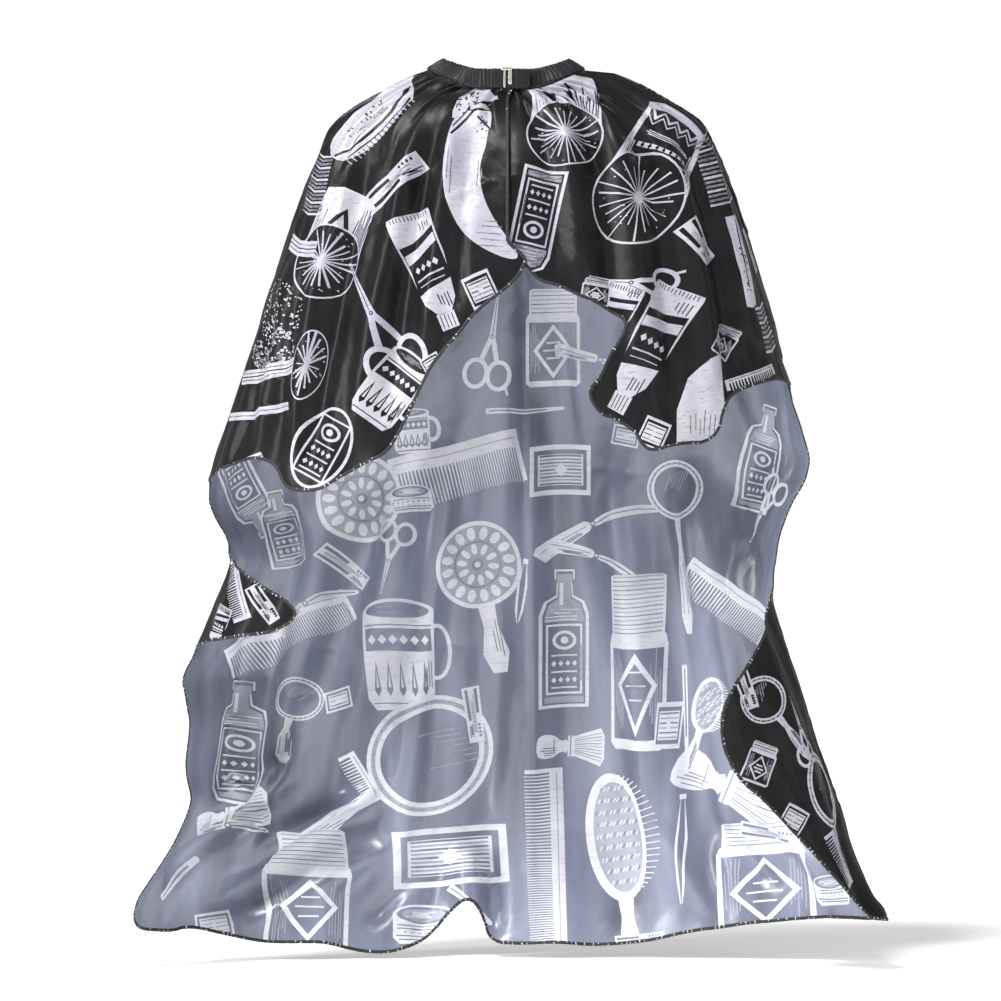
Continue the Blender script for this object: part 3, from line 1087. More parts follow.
def tube(p, L, W, cap=0.14):
    """A cream tube: crimped end at the top, cap below, a plain dark band."""
    p.poly([(-W * 0.16, L / 2 - L * cap), (W * 0.16, L / 2 - L * cap), (W * 0.34, L * 0.26), (W / 2, -L * 0.1),
            (W * 0.52, -L / 2 + 4), (W * 0.50, -L / 2), (-W * 0.50, -L / 2), (-W * 0.52, -L / 2 + 4),
            (-W / 2, -L * 0.1), (-W * 0.34, L * 0.26)], 1)
    p.rect(-W * 0.5, -L / 2 + 1, W * 0.5, -L / 2 + 5, 1)
    p.hatch(-W * 0.44, -L / 2 + 1, W * 0.44, -L / 2 + 6, 12, 0.9, 0, rows=False, ragged=0.1)
    p.poly([(-W * 0.47, -L * 0.26), (W * 0.47, -L * 0.34), (W * 0.45, L * 0.10), (-W * 0.40, L * 0.17)], 0)
    p.poly([(-W * 0.44, -L * 0.20), (W * 0.44, -L * 0.28), (W * 0.44, -L * 0.20), (-W * 0.44, -L * 0.12)], 1)
    lozenges(p, -W * 0.34, W * 0.34, -L * 0.05, 4, W * 0.07, 1)
    p.line([(-W * 0.34, L * 0.045), (W * 0.36, L * 0.02)], 1.8, 1)
    p.line([(-W * 0.30, L * 0.10), (W * 0.32, L * 0.075)], 1.0, 1)
    p.hatch(W * 0.10, -L * 0.44, W * 0.42, -L * 0.34, 4, 1.0, 0, rows=False)
    p.hatch(-W * 0.04, L * 0.20, W * 0.26, L * 0.33, 4, 1.1, 0, rows=False)
    p.rect(-W * 0.20, L / 2 - L * cap, W * 0.20, L / 2, 1)
    p.hatch(-W * 0.17, L / 2 - L * cap + 1, W * 0.17, L / 2 - 1, 4, 0.9, 0, rows=False, ragged=0.1)


def box(p, w, h, stripes=6):
    """A small carton seen face on, with a ruled face."""
    p.rect(-w / 2, -h / 2, w / 2, h / 2, 1)
    p.rect(-w * 0.43, -h * 0.40, w * 0.43, h * 0.40, 0)
    p.rect(-w * 0.37, -h * 0.31, w * 0.37, h * 0.31, 1)
    for i in range(stripes):
        y = -h * 0.31 + h * 0.62 * (i + 0.5) / stripes
        p.line([(-w * 0.34, y), (w * 0.34, y)], max(0.9, h * 0.035), 0 if i % 2 == 0 else 2)
    p.poly([(-w * 0.10, 0), (0, -h * 0.14), (w * 0.10, 0), (0, h * 0.14)], 1)


def slim_box(p, L, W):
    p.poly([(-L / 2, -W / 2), (L / 2, -W * 0.42), (L / 2, W * 0.42), (-L / 2, W / 2)], 1)
    p.poly([(-L * 0.46, -W * 0.36), (-L * 0.02, -W * 0.33), (-L * 0.02, -W * 0.16), (-L * 0.46, -W * 0.18)], 0)
    p.poly([(-L * 0.46, W * 0.18), (L * 0.10, W * 0.14), (L * 0.10, W * 0.30), (-L * 0.46, W * 0.36)], 0)
    p.hatch(-L * 0.40, -W * 0.12, L * 0.40, W * 0.10, 3, 1.0, 2)
    lozenges(p, L * 0.16, L * 0.42, -W * 0.24, 4, 1.6, 0)
    p.hatch(L * 0.14, W * 0.12, L * 0.46, W * 0.32, 3, 1.0, 0)


def clothes_brush(p, L, W):
    """A long oval brush, bristles along the lower edge."""
    p.poly([(-L / 2, 0), (-L * 0.46, -W * 0.36), (-L * 0.25, -W / 2), (L * 0.25, -W / 2), (L * 0.46, -W * 0.36),
            (L / 2, 0), (L * 0.46, W * 0.30), (L * 0.2, W * 0.44), (-L * 0.2, W * 0.44), (-L * 0.46, W * 0.30)],
           1, smooth=2)
    p.line([(-L * 0.46, W * 0.08), (-L * 0.2, W * 0.17), (L * 0.2, W * 0.17), (L * 0.46, W * 0.08)], 2.4, 0)
    p.line([(-L * 0.40, W * 0.26), (0, W * 0.33), (L * 0.40, W * 0.26)], 1.3, 0)
    p.specks(-L * 0.05, -W * 0.14, L * 0.26, W * 0.16, 34, 1.4, 0)
    p.hatch(-L * 0.30, -W * 0.05, L * 0.28, W * 0.08, 4, 1.0, 2)
    for i in range(34):
        x = -L * 0.42 + L * 0.84 * i / 33
        p.line([(x, W * 0.32), (x + 0.6, W * 0.46)], 0.9, 0 if i % 2 else 1)


def ornament_disc(p, R, H=0.0):
    """A round powder brush seen from its face, with petals, and its handle."""
    if H:
        p.poly([(-R * 0.2, R * 0.8), (R * 0.2, R * 0.8), (R * 0.16, R + H * 0.3), (R * 0.30, R + H * 0.7),
                (R * 0.16, R + H), (-R * 0.16, R + H), (-R * 0.30, R + H * 0.7), (-R * 0.16, R + H * 0.3)], 1)
        p.hatch(0, R + H * 0.2, R * 0.22, R + H * 0.9, 3, 1.0, 0, rows=False)
    p.ell(0, 0, R, R, 1)
    p.ell(0, 0, R * 0.90, R * 0.90, 2)
    for k in range(16):
        a = 2 * math.pi * k / 16
        p.ell(R * 0.72 * math.cos(a), R * 0.72 * math.sin(a), R * 0.15, R * 0.10, 1,
              math.degrees(a), n=8)
    p.ring(0, 0, R * 0.52, R * 0.52, 1.6, 0)
    for k in range(10):
        a = 2 * math.pi * (k + 0.5) / 10
        p.ell(R * 0.36 * math.cos(a), R * 0.36 * math.sin(a), R * 0.13, R * 0.07, 1,
              math.degrees(a), n=8)
    p.ell(0, 0, R * 0.14, R * 0.14, 0)
    p.ell(0, 0, R * 0.07, R * 0.07, 1)


def tin(p, w, h):
    p.poly([(-w / 2, -h * 0.25), (w / 2, -h * 0.25), (w / 2, h * 0.3), (w * 0.4, h * 0.46),
            (-w * 0.4, h * 0.46), (-w / 2, h * 0.3)], 1)
    p.hatch(-w * 0.46, -h * 0.05, w * 0.46, h * 0.40, 5, 1.2, 0, ragged=0.12)
    lozenges(p, -w * 0.42, w * 0.42, h * 0.16, 7, 2.6, 1)
    p.ell(0, -h * 0.25, w / 2, h * 0.24, 1)
    p.ell(0, -h * 0.25, w * 0.44, h * 0.19, 0)
    p.ell(0, -h * 0.25, w * 0.36, h * 0.14, 2)
    p.hatch(-w * 0.3, -h * 0.33, w * 0.3, -h * 0.17, 4, 1.0, 1)


def tweezers(p, L):
    for s_ in (-1, 1):
        p.poly([(s_ * 1.2, -L / 2), (s_ * 5.2, -L * 0.1), (s_ * 4.4, L * 0.3), (s_ * 1.0, L / 2),
                (s_ * 0.4, L / 2), (s_ * 2.2, L * 0.2), (s_ * 2.8, -L * 0.1)], 1)
    p.rect(-2.6, -L / 2, 2.6, -L / 2 + 5, 1)


def stick(p, L, w=5.0):
    p.poly([(-L / 2, -w / 2), (L / 2, -w * 0.3), (L / 2 + 2, 0), (L / 2, w * 0.3), (-L / 2, w / 2)], 1)
    p.line([(-L * 0.46, 0), (L * 0.30, 0)], 1.3, 0)


def horn(p):
    """A long curved bone handle with a carved ferrule at the top."""
    p.poly([(-40, 20), (-37, -40), (-20, -66), (4, -62), (2, -30), (-6, -4), (-2, 24), (10, 48),
            (24, 66), (36, 80), (38, 90), (20, 88), (-6, 76), (-26, 56)], 1, smooth=2)
    p.line([(-34, -30), (-14, -56), (2, -58)], 2.4, 0)
    p.line([(-33, -38), (-16, -62), (4, -64)], 1.4, 0)
    p.poly([(-36, -58), (-30, -84), (-22, -98), (-14, -92), (-8, -76), (6, -72), (8, -66), (-14, -64), (-34, -42)],
           1, smooth=1)
    p.specks(-22, -68, 14, 16, 46, 1.7, 0)
    p.poly([(-36, -84), (-34, -104), (-26, -100), (-20, -82), (-28, -76)], 1)
    p.specks(-28, -90, 6, 12, 12, 1.4, 0)
    p.line([(-10, -50), (2, -40), (0, -20)], 2.0, 0)
    p.specks(-4, -40, 6, 12, 16, 1.4, 0)
    p.hatch(-36, -20, -30, 30, 2, 1.0, 2, rows=False)
    p.hatch(-4, 50, 24, 80, 5, 1.1, 2)
    p.hatch(-8, -10, -2, 20, 2, 1.0, 2, rows=False)


def ribbed_sleeve(p, w, h, n=16):
    for i in range(n):
        y = -h / 2 + h * i / n
        p.line([(-w / 2, y), (0, y + 2.4), (w / 2, y)], h / n * 0.55, 2 if i % 3 else 1)


def band_stripes(p, w, h, rows=3):
    p.poly([(-w / 2, -h / 2), (0, -h / 2 + 3), (w / 2, -h / 2), (w / 2, h / 2), (0, h / 2 + 3), (-w / 2, h / 2)], 1)
    for i in range(rows):
        y = -h / 2 + h * (i + 1) / (rows + 1)
        p.line([(-w / 2, y), (0, y + 3), (w / 2, y)], 1.2, 0 if i % 2 else 2)


def art_build():
    N = lambda x, y, a=0.0, s=1.0, sy=None, half=None: Pen("near", x, y, a, s, sy, half)
    F = lambda x, y, a=0.0, s=1.0, sy=None: Pen("far", x, y, a, s, sy)
    # ---- left back half
    clothes_brush(N(372, 122, -45), 106, 38)
    slim_box(N(394, 183, -40), 74, 22)
    fluted_can(N(334, 246, 24), 56, 116)
    horn(N(486, 168, 4))
    tube(N(431, 272, -22), 122, 44)
    scissors(N(376, 318, 152), 128)
    mug(N(392, 388, 36), 50, 84)
    box(N(482, 290, -24), 28, 34, 5)
    label(N(322, 448, 28), -20, -34, 20, 34)
    N(322, 448, 28).ring(0, 0, 27, 42, 3.0, 1)
    box(N(434, 364, -30), 20, 18, 3)
    # left sleeve: a ribbed cuff, bands and a stippled oval mirror
    ribbed_sleeve(N(314, 186, 12), 36, 62)
    band_stripes(N(300, 246, 14), 44, 16)
    N(272, 330, 14).specks(0, -18, 30, 34, 150, 1.3, 1)
    N(268, 350, 14).specks(0, 0, 30, 26, 150, 1.6, 1)
    N(270, 340, 14).specks(0, 20, 32, 12, 90, 1.9, 2)
    band_stripes(N(262, 372, -10), 76, 14)
    band_stripes(N(250, 412, -8), 82, 8, 1)
    spokes(N(310, 366, 14), 0, 0, 13, 36, 16)
    band_stripes(N(234, 464, -18), 58, 7, 1)
    # ---- right back half
    fluted_can(N(566, 120, 6, half=560), 74, 96)
    bottle(N(533, 232, 192, half=560), 44, 128)
    fluted_can(N(648, 178, 28, half=560), 84, 146, dark=True)
    slim_box(N(696, 243, 52), 46, 24)
    ribbed_sleeve(N(722, 170, -14), 38, 74)
    stick(N(741, 262, 80), 92, 20)
    N(741, 262, 80).specks(8, 0, 30, 4, 24, 1.4, 0)
    scissors(N(632, 284, 100), 88)
    tube(N(648, 350, 28), 138, 46)
    tube(N(612, 318, 24), 70, 34)
    jar(N(724, 342, 30), 24, 34)
    N(702, 400, 0).poly([(-27, 46), (-25, 10), (-14, -22), (4, -40), (16, -46), (20, -10), (28, 42), (10, 46), (6, 44)], 1)
    N(702, 400, 0).hatch(-14, 10, 16, 40, 6, 1.1, 2, rows=False)
    comb(N(752, 378, -18), 56, 12)
    box(N(653, 434, 24), 26, 30, 4)
    jar(N(596, 292, 8), 30, 26)
    ribbed_sleeve(N(772, 330, -20), 22, 50, 10)
    slim_box(N(770, 250, 70), 46, 18)
    # small pieces beside the clasp
    N(494, 88, 0, half=480).specks(0, 0, 9, 4, 12, 1.7, 1)
    # ---- side flaps, outer face
    comb(N(232, 590, 70), 66, 20)
    slim_box(N(262, 604, 60), 40, 16)
    tube(N(214, 628, 20), 44, 22)
    hand_mirror(N(764, 700, -40, half=700), 24, 54)
    jar(N(760, 764, 20, half=700), 30, 42)
    hand_mirror(N(836, 790, -16, half=700), 26, 56, 40)
    scissors(N(806, 730, 160, half=700), 70)
    box(N(794, 820, 30, half=700), 24, 26, 4)
    comb(N(848, 860, 60, half=700), 60, 18)
    slim_box(N(746, 690, 70, half=700), 40, 16)
    # ---- the long front panel
    scissors(F(492, 340, 188), 96)
    jar(F(553, 338), 54, 98, 0.26)
    stick(F(524, 411, -2), 76, 6)
    comb(F(458, 470, -14), 132, 52, 3.6)
    box(F(560, 471), 60, 50, 9)
    ornament_disc(F(478, 566, -12), 44, 66)
    straight_razor(F(592, 524, -34), 130)
    straight_razor(F(596, 556, 8), 104)
    bottle(F(563, 640), 48, 138)
    jar(F(638, 662), 56, 176, 0.34)
    hand_mirror(F(676, 490, -4), 30, 116)
    ornament_disc(F(360, 498), 44)
    mug(F(400, 656, -4), 70, 112)
    hand_mirror(F(430, 756, 56), 58, 110, 66)
    shaving_brush(F(570, 748, 92), 66, 38)
    comb(F(546, 862, 88), 186, 38, 3.4)
    hairbrush(F(616, 838, -8), 128, 62, 72)
    tweezers(F(682, 850), 110)
    shaving_brush(F(730, 788, 112), 120, 62)
    box(F(450, 857, -4), 116, 58, 9)
    tin(F(424, 925), 62, 42)
    jar(F(308, 892, 2), 84, 122, 0.3)
    jar(F(764, 878, -4), 96, 112, 0.22)
    shaving_brush(F(228, 816, 74), 84, 40)
    box(F(214, 926, -8), 38, 26, 4)
    bottle(F(240, 742, 6), 42, 122)
    comb(F(288, 634, -28), 134, 34, 3.4)
    straight_razor(F(310, 606, -42), 90)
    bottle(F(762, 458, 14), 46, 108)
    scissors(F(766, 512, 36), 74)
    comb(F(730, 602, 38), 104, 34, 3.4)
    hairbrush(F(706, 706, 20), 60, 34, 44)
    box(F(668, 726, 4), 22, 46, 6)
    mug(F(412, 432, -6), 38, 46)
    tin(F(412, 500, -8), 40, 28)
    scissors(F(392, 560, 14), 74)
    slim_box(F(474, 716, 82), 56, 18)
    stick(F(682, 712, 88), 90, 5)
    bottle(F(243, 494, 150), 44, 96)
    bottle(F(282, 528, -12), 40, 76)
    slim_box(F(344, 566, 40), 52, 18)
    hand_mirror(F(300, 700, 18), 22, 44)
    straight_razor(F(232, 828, -16), 66)
    stick(F(470, 905, 40), 54, 8)
    tweezers(F(522, 590, 8), 66)
    comb(F(360, 780, 62), 54, 18)
    box(F(626, 436, 10), 28, 20, 3)
    slim_box(F(770, 834, 10), 60, 16)
    tin(F(836, 890, -6), 44, 34)
    stick(F(176, 880, -38), 60, 7)
    slim_box(F(640, 940, -6), 50, 14)
    box(F(338, 700, -14), 30, 22, 3)
    # ---- the part of the front above the back hems, seen only from the front
    for x, y, a, k in ((420, 250, -20, 0), (500, 210, 10, 1), (590, 230, 24, 2), (660, 280, -16, 3),
                       (350, 300, 30, 4), (440, 150, 160, 5), (560, 140, 200, 6), (640, 170, 20, 0),
                       (360, 200, -30, 2), (710, 220, 40, 1), (300, 400, 10, 5), (728, 340, -20, 4),
                       (292, 260, 20, 3), (600, 360, 10, 6), (680, 380, 14, 5)):
        p = F(x, y, a)
        if k == 0:
            hand_mirror(p, 30, 60)
        elif k == 1:
            bottle(p, 42, 96)
        elif k == 2:
            comb(p, 104, 30)
        elif k == 3:
            mug(p, 54, 60)
        elif k == 4:
            shaving_brush(p, 84, 40)
        elif k == 5:
            scissors(p, 92)
        else:
            straight_razor(p, 96)


# ------------------------------------------------------------------ the cloth mesh
def inside(points, loop):
    x, y = points[:, 0], points[:, 1]
    res = np.zeros(len(points), bool)
    x0, y0 = loop[:, 0], loop[:, 1]
    x1, y1 = np.roll(x0, -1), np.roll(y0, -1)
    for a, b, c, d in zip(x0, y0, x1, y1):
        if b == d:
            continue
        m = ((b > y) != (d > y)) & (x < (c - a) * (y - b) / (d - b) + a)
        res ^= m
    return res


def cloth():
    lines = []
    for name in EDGE_ORDER:
        step = 5.5 if name == "neck" else (5.0 if name.startswith("opening") else 3.6)
        lines.append(resample(EDGES[name], step)[:-1])
    loop = np.concatenate(lines)
    if area2(loop) < 0:
        loop = loop[::-1]
    # points inside, closer together near the neck where the gathers are
    pts = []
    z = 0.0
    row = 0
    while z > -985.0:
        q = max(0.0, -z - 12.0)
        h = 1.7 + 4.3 * float(ss(q / 110.0))
        r = float(rho(z))
        hc = h * R0 / r
        p0, p1 = math.radians(-112) * R0, math.radians(282) * R0
        n = int((p1 - p0) / hc)
        xs = p0 + (np.arange(n) + (0.5 if row % 2 else 0.0)) * hc
        s0 = float(np.interp(z, _zz, _S))
        pts.append(np.stack([xs, np.full(n, s0)], axis=-1))
        s1 = s0 - hc * 0.87
        z = float(np.interp(s1, _S, _zz))
        row += 1
    pts = np.concatenate(pts)
    pts = pts[inside(pts, loop)]
    kd = KDTree(len(loop))
    for i, c in enumerate(loop):
        kd.insert((c[0], c[1], 0.0), i)
    kd.balance()
    near = np.array([kd.find((c[0], c[1], 0.0))[2] for c in pts])
    pts = pts[near > 2.6]
    verts = [Vector((a, b)) for a, b in loop]
    faces = [list(range(len(loop)))]
    values = [0]
    for poly, v in ART:
        k = len(verts)
        verts.extend(Vector((a, b)) for a, b in poly)
        faces.append(list(range(k, k + len(poly))))
        values.append(v)
    verts.extend(Vector((a, b)) for a, b in pts)
    r = delaunay_2d_cdt(verts, [], faces, 1, 1e-4)
    C = np.array([(v.x, v.y) for v in r[0]])
    tris, ink = [], []
    for f, o in zip(r[2], r[5]):
        if 0 in o and len(f) == 3:
            tris.append(f)
            ink.append(values[max(o)])
    tris = np.array(tris)
    ink = np.array(ink)
    used = np.unique(tris)
    remap = -np.ones(len(C), int)
    remap[used] = np.arange(len(used))
    C, tris = C[used], remap[tris]
    a, b, c = C[tris[:, 0]], C[tris[:, 1]], C[tris[:, 2]]
    ar = (b[:, 0] - a[:, 0]) * (c[:, 1] - a[:, 1]) - (c[:, 0] - a[:, 0]) * (b[:, 1] - a[:, 1])
    tris[ar < 0] = tris[ar < 0][:, ::-1]
    t, zc = unchart(C)
    P, n = surface(t, zc)
    h = 0.2
    N = len(P)
    verts3 = np.concatenate([P + n * h, P - n * h])
    e = np.concatenate([tris[:, [0, 1]], tris[:, [1, 2]], tris[:, [2, 0]]])
    key = e[:, 0] * N + e[:, 1]
    rev = e[:, 1] * N + e[:, 0]
    rim = e[~np.isin(key, rev)]
    rimf = np.stack([rim[:, 1], rim[:, 0], rim[:, 0] + N, rim[:, 1] + N], axis=-1)
    F = tris.tolist() + (tris[:, ::-1] + N).tolist() + rimf.tolist()
    idx = np.concatenate([ink, ink + 3, np.zeros(len(rimf), int)])
    ob = make_object("cape_cloth", verts3, F,
                     [M_OUT, M_OUT_INK, M_OUT_MID, M_IN, M_IN_INK, M_IN_MID], idx,
                     normals=np.concatenate([n, -n]))
    uv = ob.data.uv_layers.new(name="flat")
    li = np.empty(len(ob.data.loops), np.int32)
    ob.data.loops.foreach_get("vertex_index", li)
    flat = np.concatenate([C, C]) * 0.001
    uv.data.foreach_set("uv", flat[li].astype(np.float32).ravel())
    area = 0.5 * np.linalg.norm(np.cross(P[tris[:, 1]] - P[tris[:, 0]],
                                         P[tris[:, 2]] - P[tris[:, 0]]), axis=1).sum()
    print("cloth: %d points, %d triangles a side, %.4f m2" % (N, len(tris), area * 1e-6))
    return ob


art_build()
print("print shapes:", len(ART))
cape_cloth = cloth()


# ------------------------------------------------------------------ overlocked edges
def overlock(name, edge, pale=0.42):
    line = resample(EDGES[edge], 1.6)
    t, z = unchart(line)
    P, n = surface(t, z)
    P, n = even(P, 0.8, n)
    n = unit(n)
    T = unit(np.gradient(P, axis=0))
    out = unit(np.cross(n, T))
    n = unit(np.cross(T, out))
    # the turned edge is stiffer than the cloth: its frame turns smoothly
    k = np.hanning(9)
    k /= k.sum()
    out = unit(np.stack([np.convolve(np.pad(out[:, c], 4, mode="edge"), k, "valid")
                         for c in range(3)], axis=-1))
    n = unit(np.cross(T, out))
    d = arc_length(P)
    st = np.abs(np.sin(math.pi * d / 2.6))
    w = 1.75 + 0.28 * st + 0.10 * rng.standard_normal(len(d)).clip(-2, 2)
    h = 0.62 + 0.30 * st
    lo, hi = 0, len(P)
    V, F = sweep(P[lo:hi] - out[lo:hi] * 0.55, out[lo:hi], n[lo:hi], w[lo:hi], h[lo:hi],
                 8, 0.8)
    idx = np.zeros(len(F), int)
    seg = np.arange(hi - lo - 1)
    fleck = (np.sin(math.pi * d[seg] / 2.6 + 0.6) > 0.55) & (rng.random(len(seg)) < pale)
    for s0 in seg[fleck]:
        for k2 in rng.choice(8, 3, replace=False):
            idx[s0 * 8 + k2] = 1
    ob = make_object(name, V, F, [M_THREAD, M_FLECK], idx)
    return ob


strips = {}
for node, edge in (("opening_overlock_left", "opening_left"),
                   ("back_hem_overlock_left", "hem_left"),
                   ("side_overlock_left", "side_left"),
                   ("bottom_hem_overlock", "bottom"),
                   ("side_overlock_right", "side_right"),
                   ("back_hem_overlock_right", "hem_right"),
                   ("opening_overlock_right", "opening_right")):
    strips[node] = overlock(node.replace("overlock", "edge"), edge,
                            {"opening": 0.05, "hem": 0.22}.get(edge.split("_")[0], 0.42))


# ------------------------------------------------------------------ the neckband
LAP = 7.4


def band_point(deg, out):
    lap = LAP * ss((deg - 222.0) / 26.0)
    x, y = neck_xy(deg, 0.0)
    r = np.hypot(x, y)
    e = 0.05
    x2, y2 = neck_xy(deg + e, 0.0)
    tx, ty = x2 - x, y2 - y
    L = np.hypot(tx, ty)
    nx, ny = ty / L, -tx / L
    x0, y0 = neck_xy(deg, 0.0)
    xl, yl = neck_xy(deg, 1.0)
    gx, gy = (xl - x0), (yl - y0)
    g = np.hypot(gx, gy)
    gx, gy = gx / g, gy / g
    return x + gx * (lap + out), y + gy * (lap + out)


def band_frames(deg):
    """The band's middle line, the direction out of its face and the one up its face."""
    x, y = band_point(deg, 0.0)
    x1, y1 = band_point(deg, 1.0)
    U = unit(np.stack([x1 - x, y1 - y, np.zeros_like(x)], axis=-1))
    k = lean(deg)
    c = 1.0 / np.sqrt(1.0 + k * k)
    P = np.stack([x, y, band_top(deg) - 11.0 * c], axis=-1)
    Z = np.array([0.0, 0.0, 1.0])
    up = (Z - U * k[:, None]) * c[:, None]
    out = (U + Z * k[:, None]) * c[:, None]
    return P, out, up


STEPS = 1300
deg = np.linspace(270.0 + END, -90.0 - END, STEPS)
BP, BU, BV = band_frames(deg)
BD = arc_length(BP)
top = band_top(deg)
phase = BD / 4.1 * 2 * math.pi + 3.6 * value_noise(BD / 15.0, BD * 0.0, 41)
gather = np.sin(phase + 0.5 * np.sin(phase))
gather2 = value_noise(BD / 2.3, BD * 0.0 + 4.0, 42)
deep = 0.7 + 0.3 * value_noise(BD / 11.0, BD * 0.0 + 9.0, 43)


def casing():
    sides = 26
    # the lapped ends are pulled flat where the ribbon and the clip slide
    free = np.where(BP[:, 1] < 0.0, ss((np.abs(BP[:, 0]) - 22.0) / 10.0), 1.0)
    ph = np.linspace(0, 2 * math.pi, sides, endpoint=False)
    verts = []
    for shell in (0.0, 0.55):
        for a in ph:
            c, s_ = math.cos(a), math.sin(a)
            cu = math.copysign(abs(c) ** 0.55, c)
            cv = math.copysign(abs(s_) ** 0.85, s_)
            hgt = 11.0 - shell
            thick = 1.75 - shell
            # thin at the stitched foot, full over the elastic
            foot = float(ss((cv + 1.0) / 0.22))
            thick = thick * (0.45 + 0.55 * foot)
            wave = (0.74 * gather + 0.40 * gather2) * deep * (0.50 + 0.50 * free) \
                + 0.42 * free * value_noise(BD / 3.1, BD * 0.0 + cv * 1.5 + 5.0, 47)
            u = thick * cu + (wave if shell == 0.0 else wave * 0.9) * (0.5 + 0.5 * foot) * \
                (1.0 if c > 0 else 0.7)
            zed = hgt * cv + (0.28 * gather2 * deep + 0.14 * gather if abs(s_) > 0.8
                              and not shell else 0.0 * gather) * math.copysign(1.0, s_)
            verts.append(BP + BU * u[:, None] + BV * zed[:, None])
    V = np.stack(verts, axis=1)        # steps x (2*sides) x 3
    n, m = V.shape[0], sides
    V = V.reshape(-1, 3)
    F = []
    i = np.arange(n - 1)[:, None] * (2 * m)
    k = np.arange(m)[None, :]
    k2 = (k + 1) % m
    F += np.stack([i + k, i + 2 * m + k, i + 2 * m + k2, i + k2], axis=-1).reshape(-1, 4).tolist()
    F += np.stack([i + m + k, i + m + k2, i + 3 * m + k2, i + 3 * m + k],
                  axis=-1).reshape(-1, 4).tolist()
    for j in range(m):
        j2 = (j + 1) % m
        F.append([j, j2, m + j2, m + j])
        o = (n - 1) * 2 * m
        F.append([o + j2, o + j, o + m + j, o + m + j2])
    return make_object("neckband_gathered", V, F, [M_BAND])


band = casing()


def band_strip(name, out, z_off, ru, rv, mat, deg0, deg1, bump=None, sides=8, power=1.0,
               follow=0.0, step=0.7):
    a = np.linspace(deg0, deg1, 1200)
    P, U, up = band_frames(a)
    P = P + U * out + up * (z_off + 11.0)
    if follow:
        d = arc_length(P)
        P = P + U * (np.interp(a, deg[::-1], (gather * deep)[::-1]) * follow)[:, None]
    P, U = even(P, step, U)
    U = unit(U)
    T = unit(np.gradient(P, axis=0))
    W = unit(np.cross(T, U))
    d = arc_length(P)
    m = np.ones(len(d)) if bump is None else bump(d)
    V, F = sweep(P, U, W, ru * m, rv * (0.8 + 0.2 * m), sides, power)
    return make_object(name, V, F, [mat])


elastic = band_strip("elastic_tape", 0.0, -11.0, 0.62, 8.6, M_ELASTIC, 270 + END - 2.5,
                     -90 - END + 2.5, lambda d: 1.0 + 0.12 * np.sin(d * 3.9), 12, 0.5)
topstitch = band_strip("band_stitching", 2.15, -20.0, 0.30, 0.42, M_THREAD, 249.0, -66.0,
                       lambda d: 0.35 + 0.95 * np.abs(np.sin(math.pi * d / 2.9)) ** 0.6,
                       8, 1.0, 0.35, 0.45)
seam = band_strip("neck_seam_edge", -3.1, -19.6, 0.62, 2.35, M_THREAD, 244.0, -94.0,
                  lambda d: 0.75 + 0.35 * np.abs(np.sin(math.pi * d / 2.4)), 10, 0.8,
                  0.0, 0.6)


def tacks():
    V, F = [], []
    for i, side in ((0, 1.0), (-1, -1.0)):
        cx, cy = BP[i, 0], BP[i, 1]
        a = np.linspace(-1, 1, 46)
        P = np.stack([np.full(46, cx + side * 1.35), np.full(46, cy + 0.2), -1.0 + a * 7.8],
                     axis=-1)
        m = 0.75 + 0.25 * np.abs(np.sin(np.arange(46) * 1.35))
        v, f = sweep(P, np.tile([1.0, 0, 0], (46, 1)), np.tile([0, 1.0, 0], (46, 1)),
                     0.62 * m, 1.7 * m, 10, 0.7)
        k = sum(len(x) for x in V)
        V.append(v)
        F += [[q + k for q in face] for face in f]
    return make_object("bar_tack_stitches", np.concatenate(V), F, [M_THREAD])


tack_ob = tacks()


# ------------------------------------------------------------------ clip and tab
def plate(name, outline_xz, y_of, thick, mat, bevel=0.25):
    """A sheet-metal piece: an outline in x, z, standing at y_of(x, z)."""
    V, F = [], []
    n = len(outline_xz)
    for s0 in (0.0, thick):
        for x, z in outline_xz:
            V.append((x, y_of(x, z) + s0, z))
    F.append(list(range(n)))
    F.append(list(range(2 * n - 1, n - 1, -1)))
    for i in range(n):
        j = (i + 1) % n
        F.append([j, i, n + i, n + j])
    ob = make_object(name, V, F, [mat])
    return ob


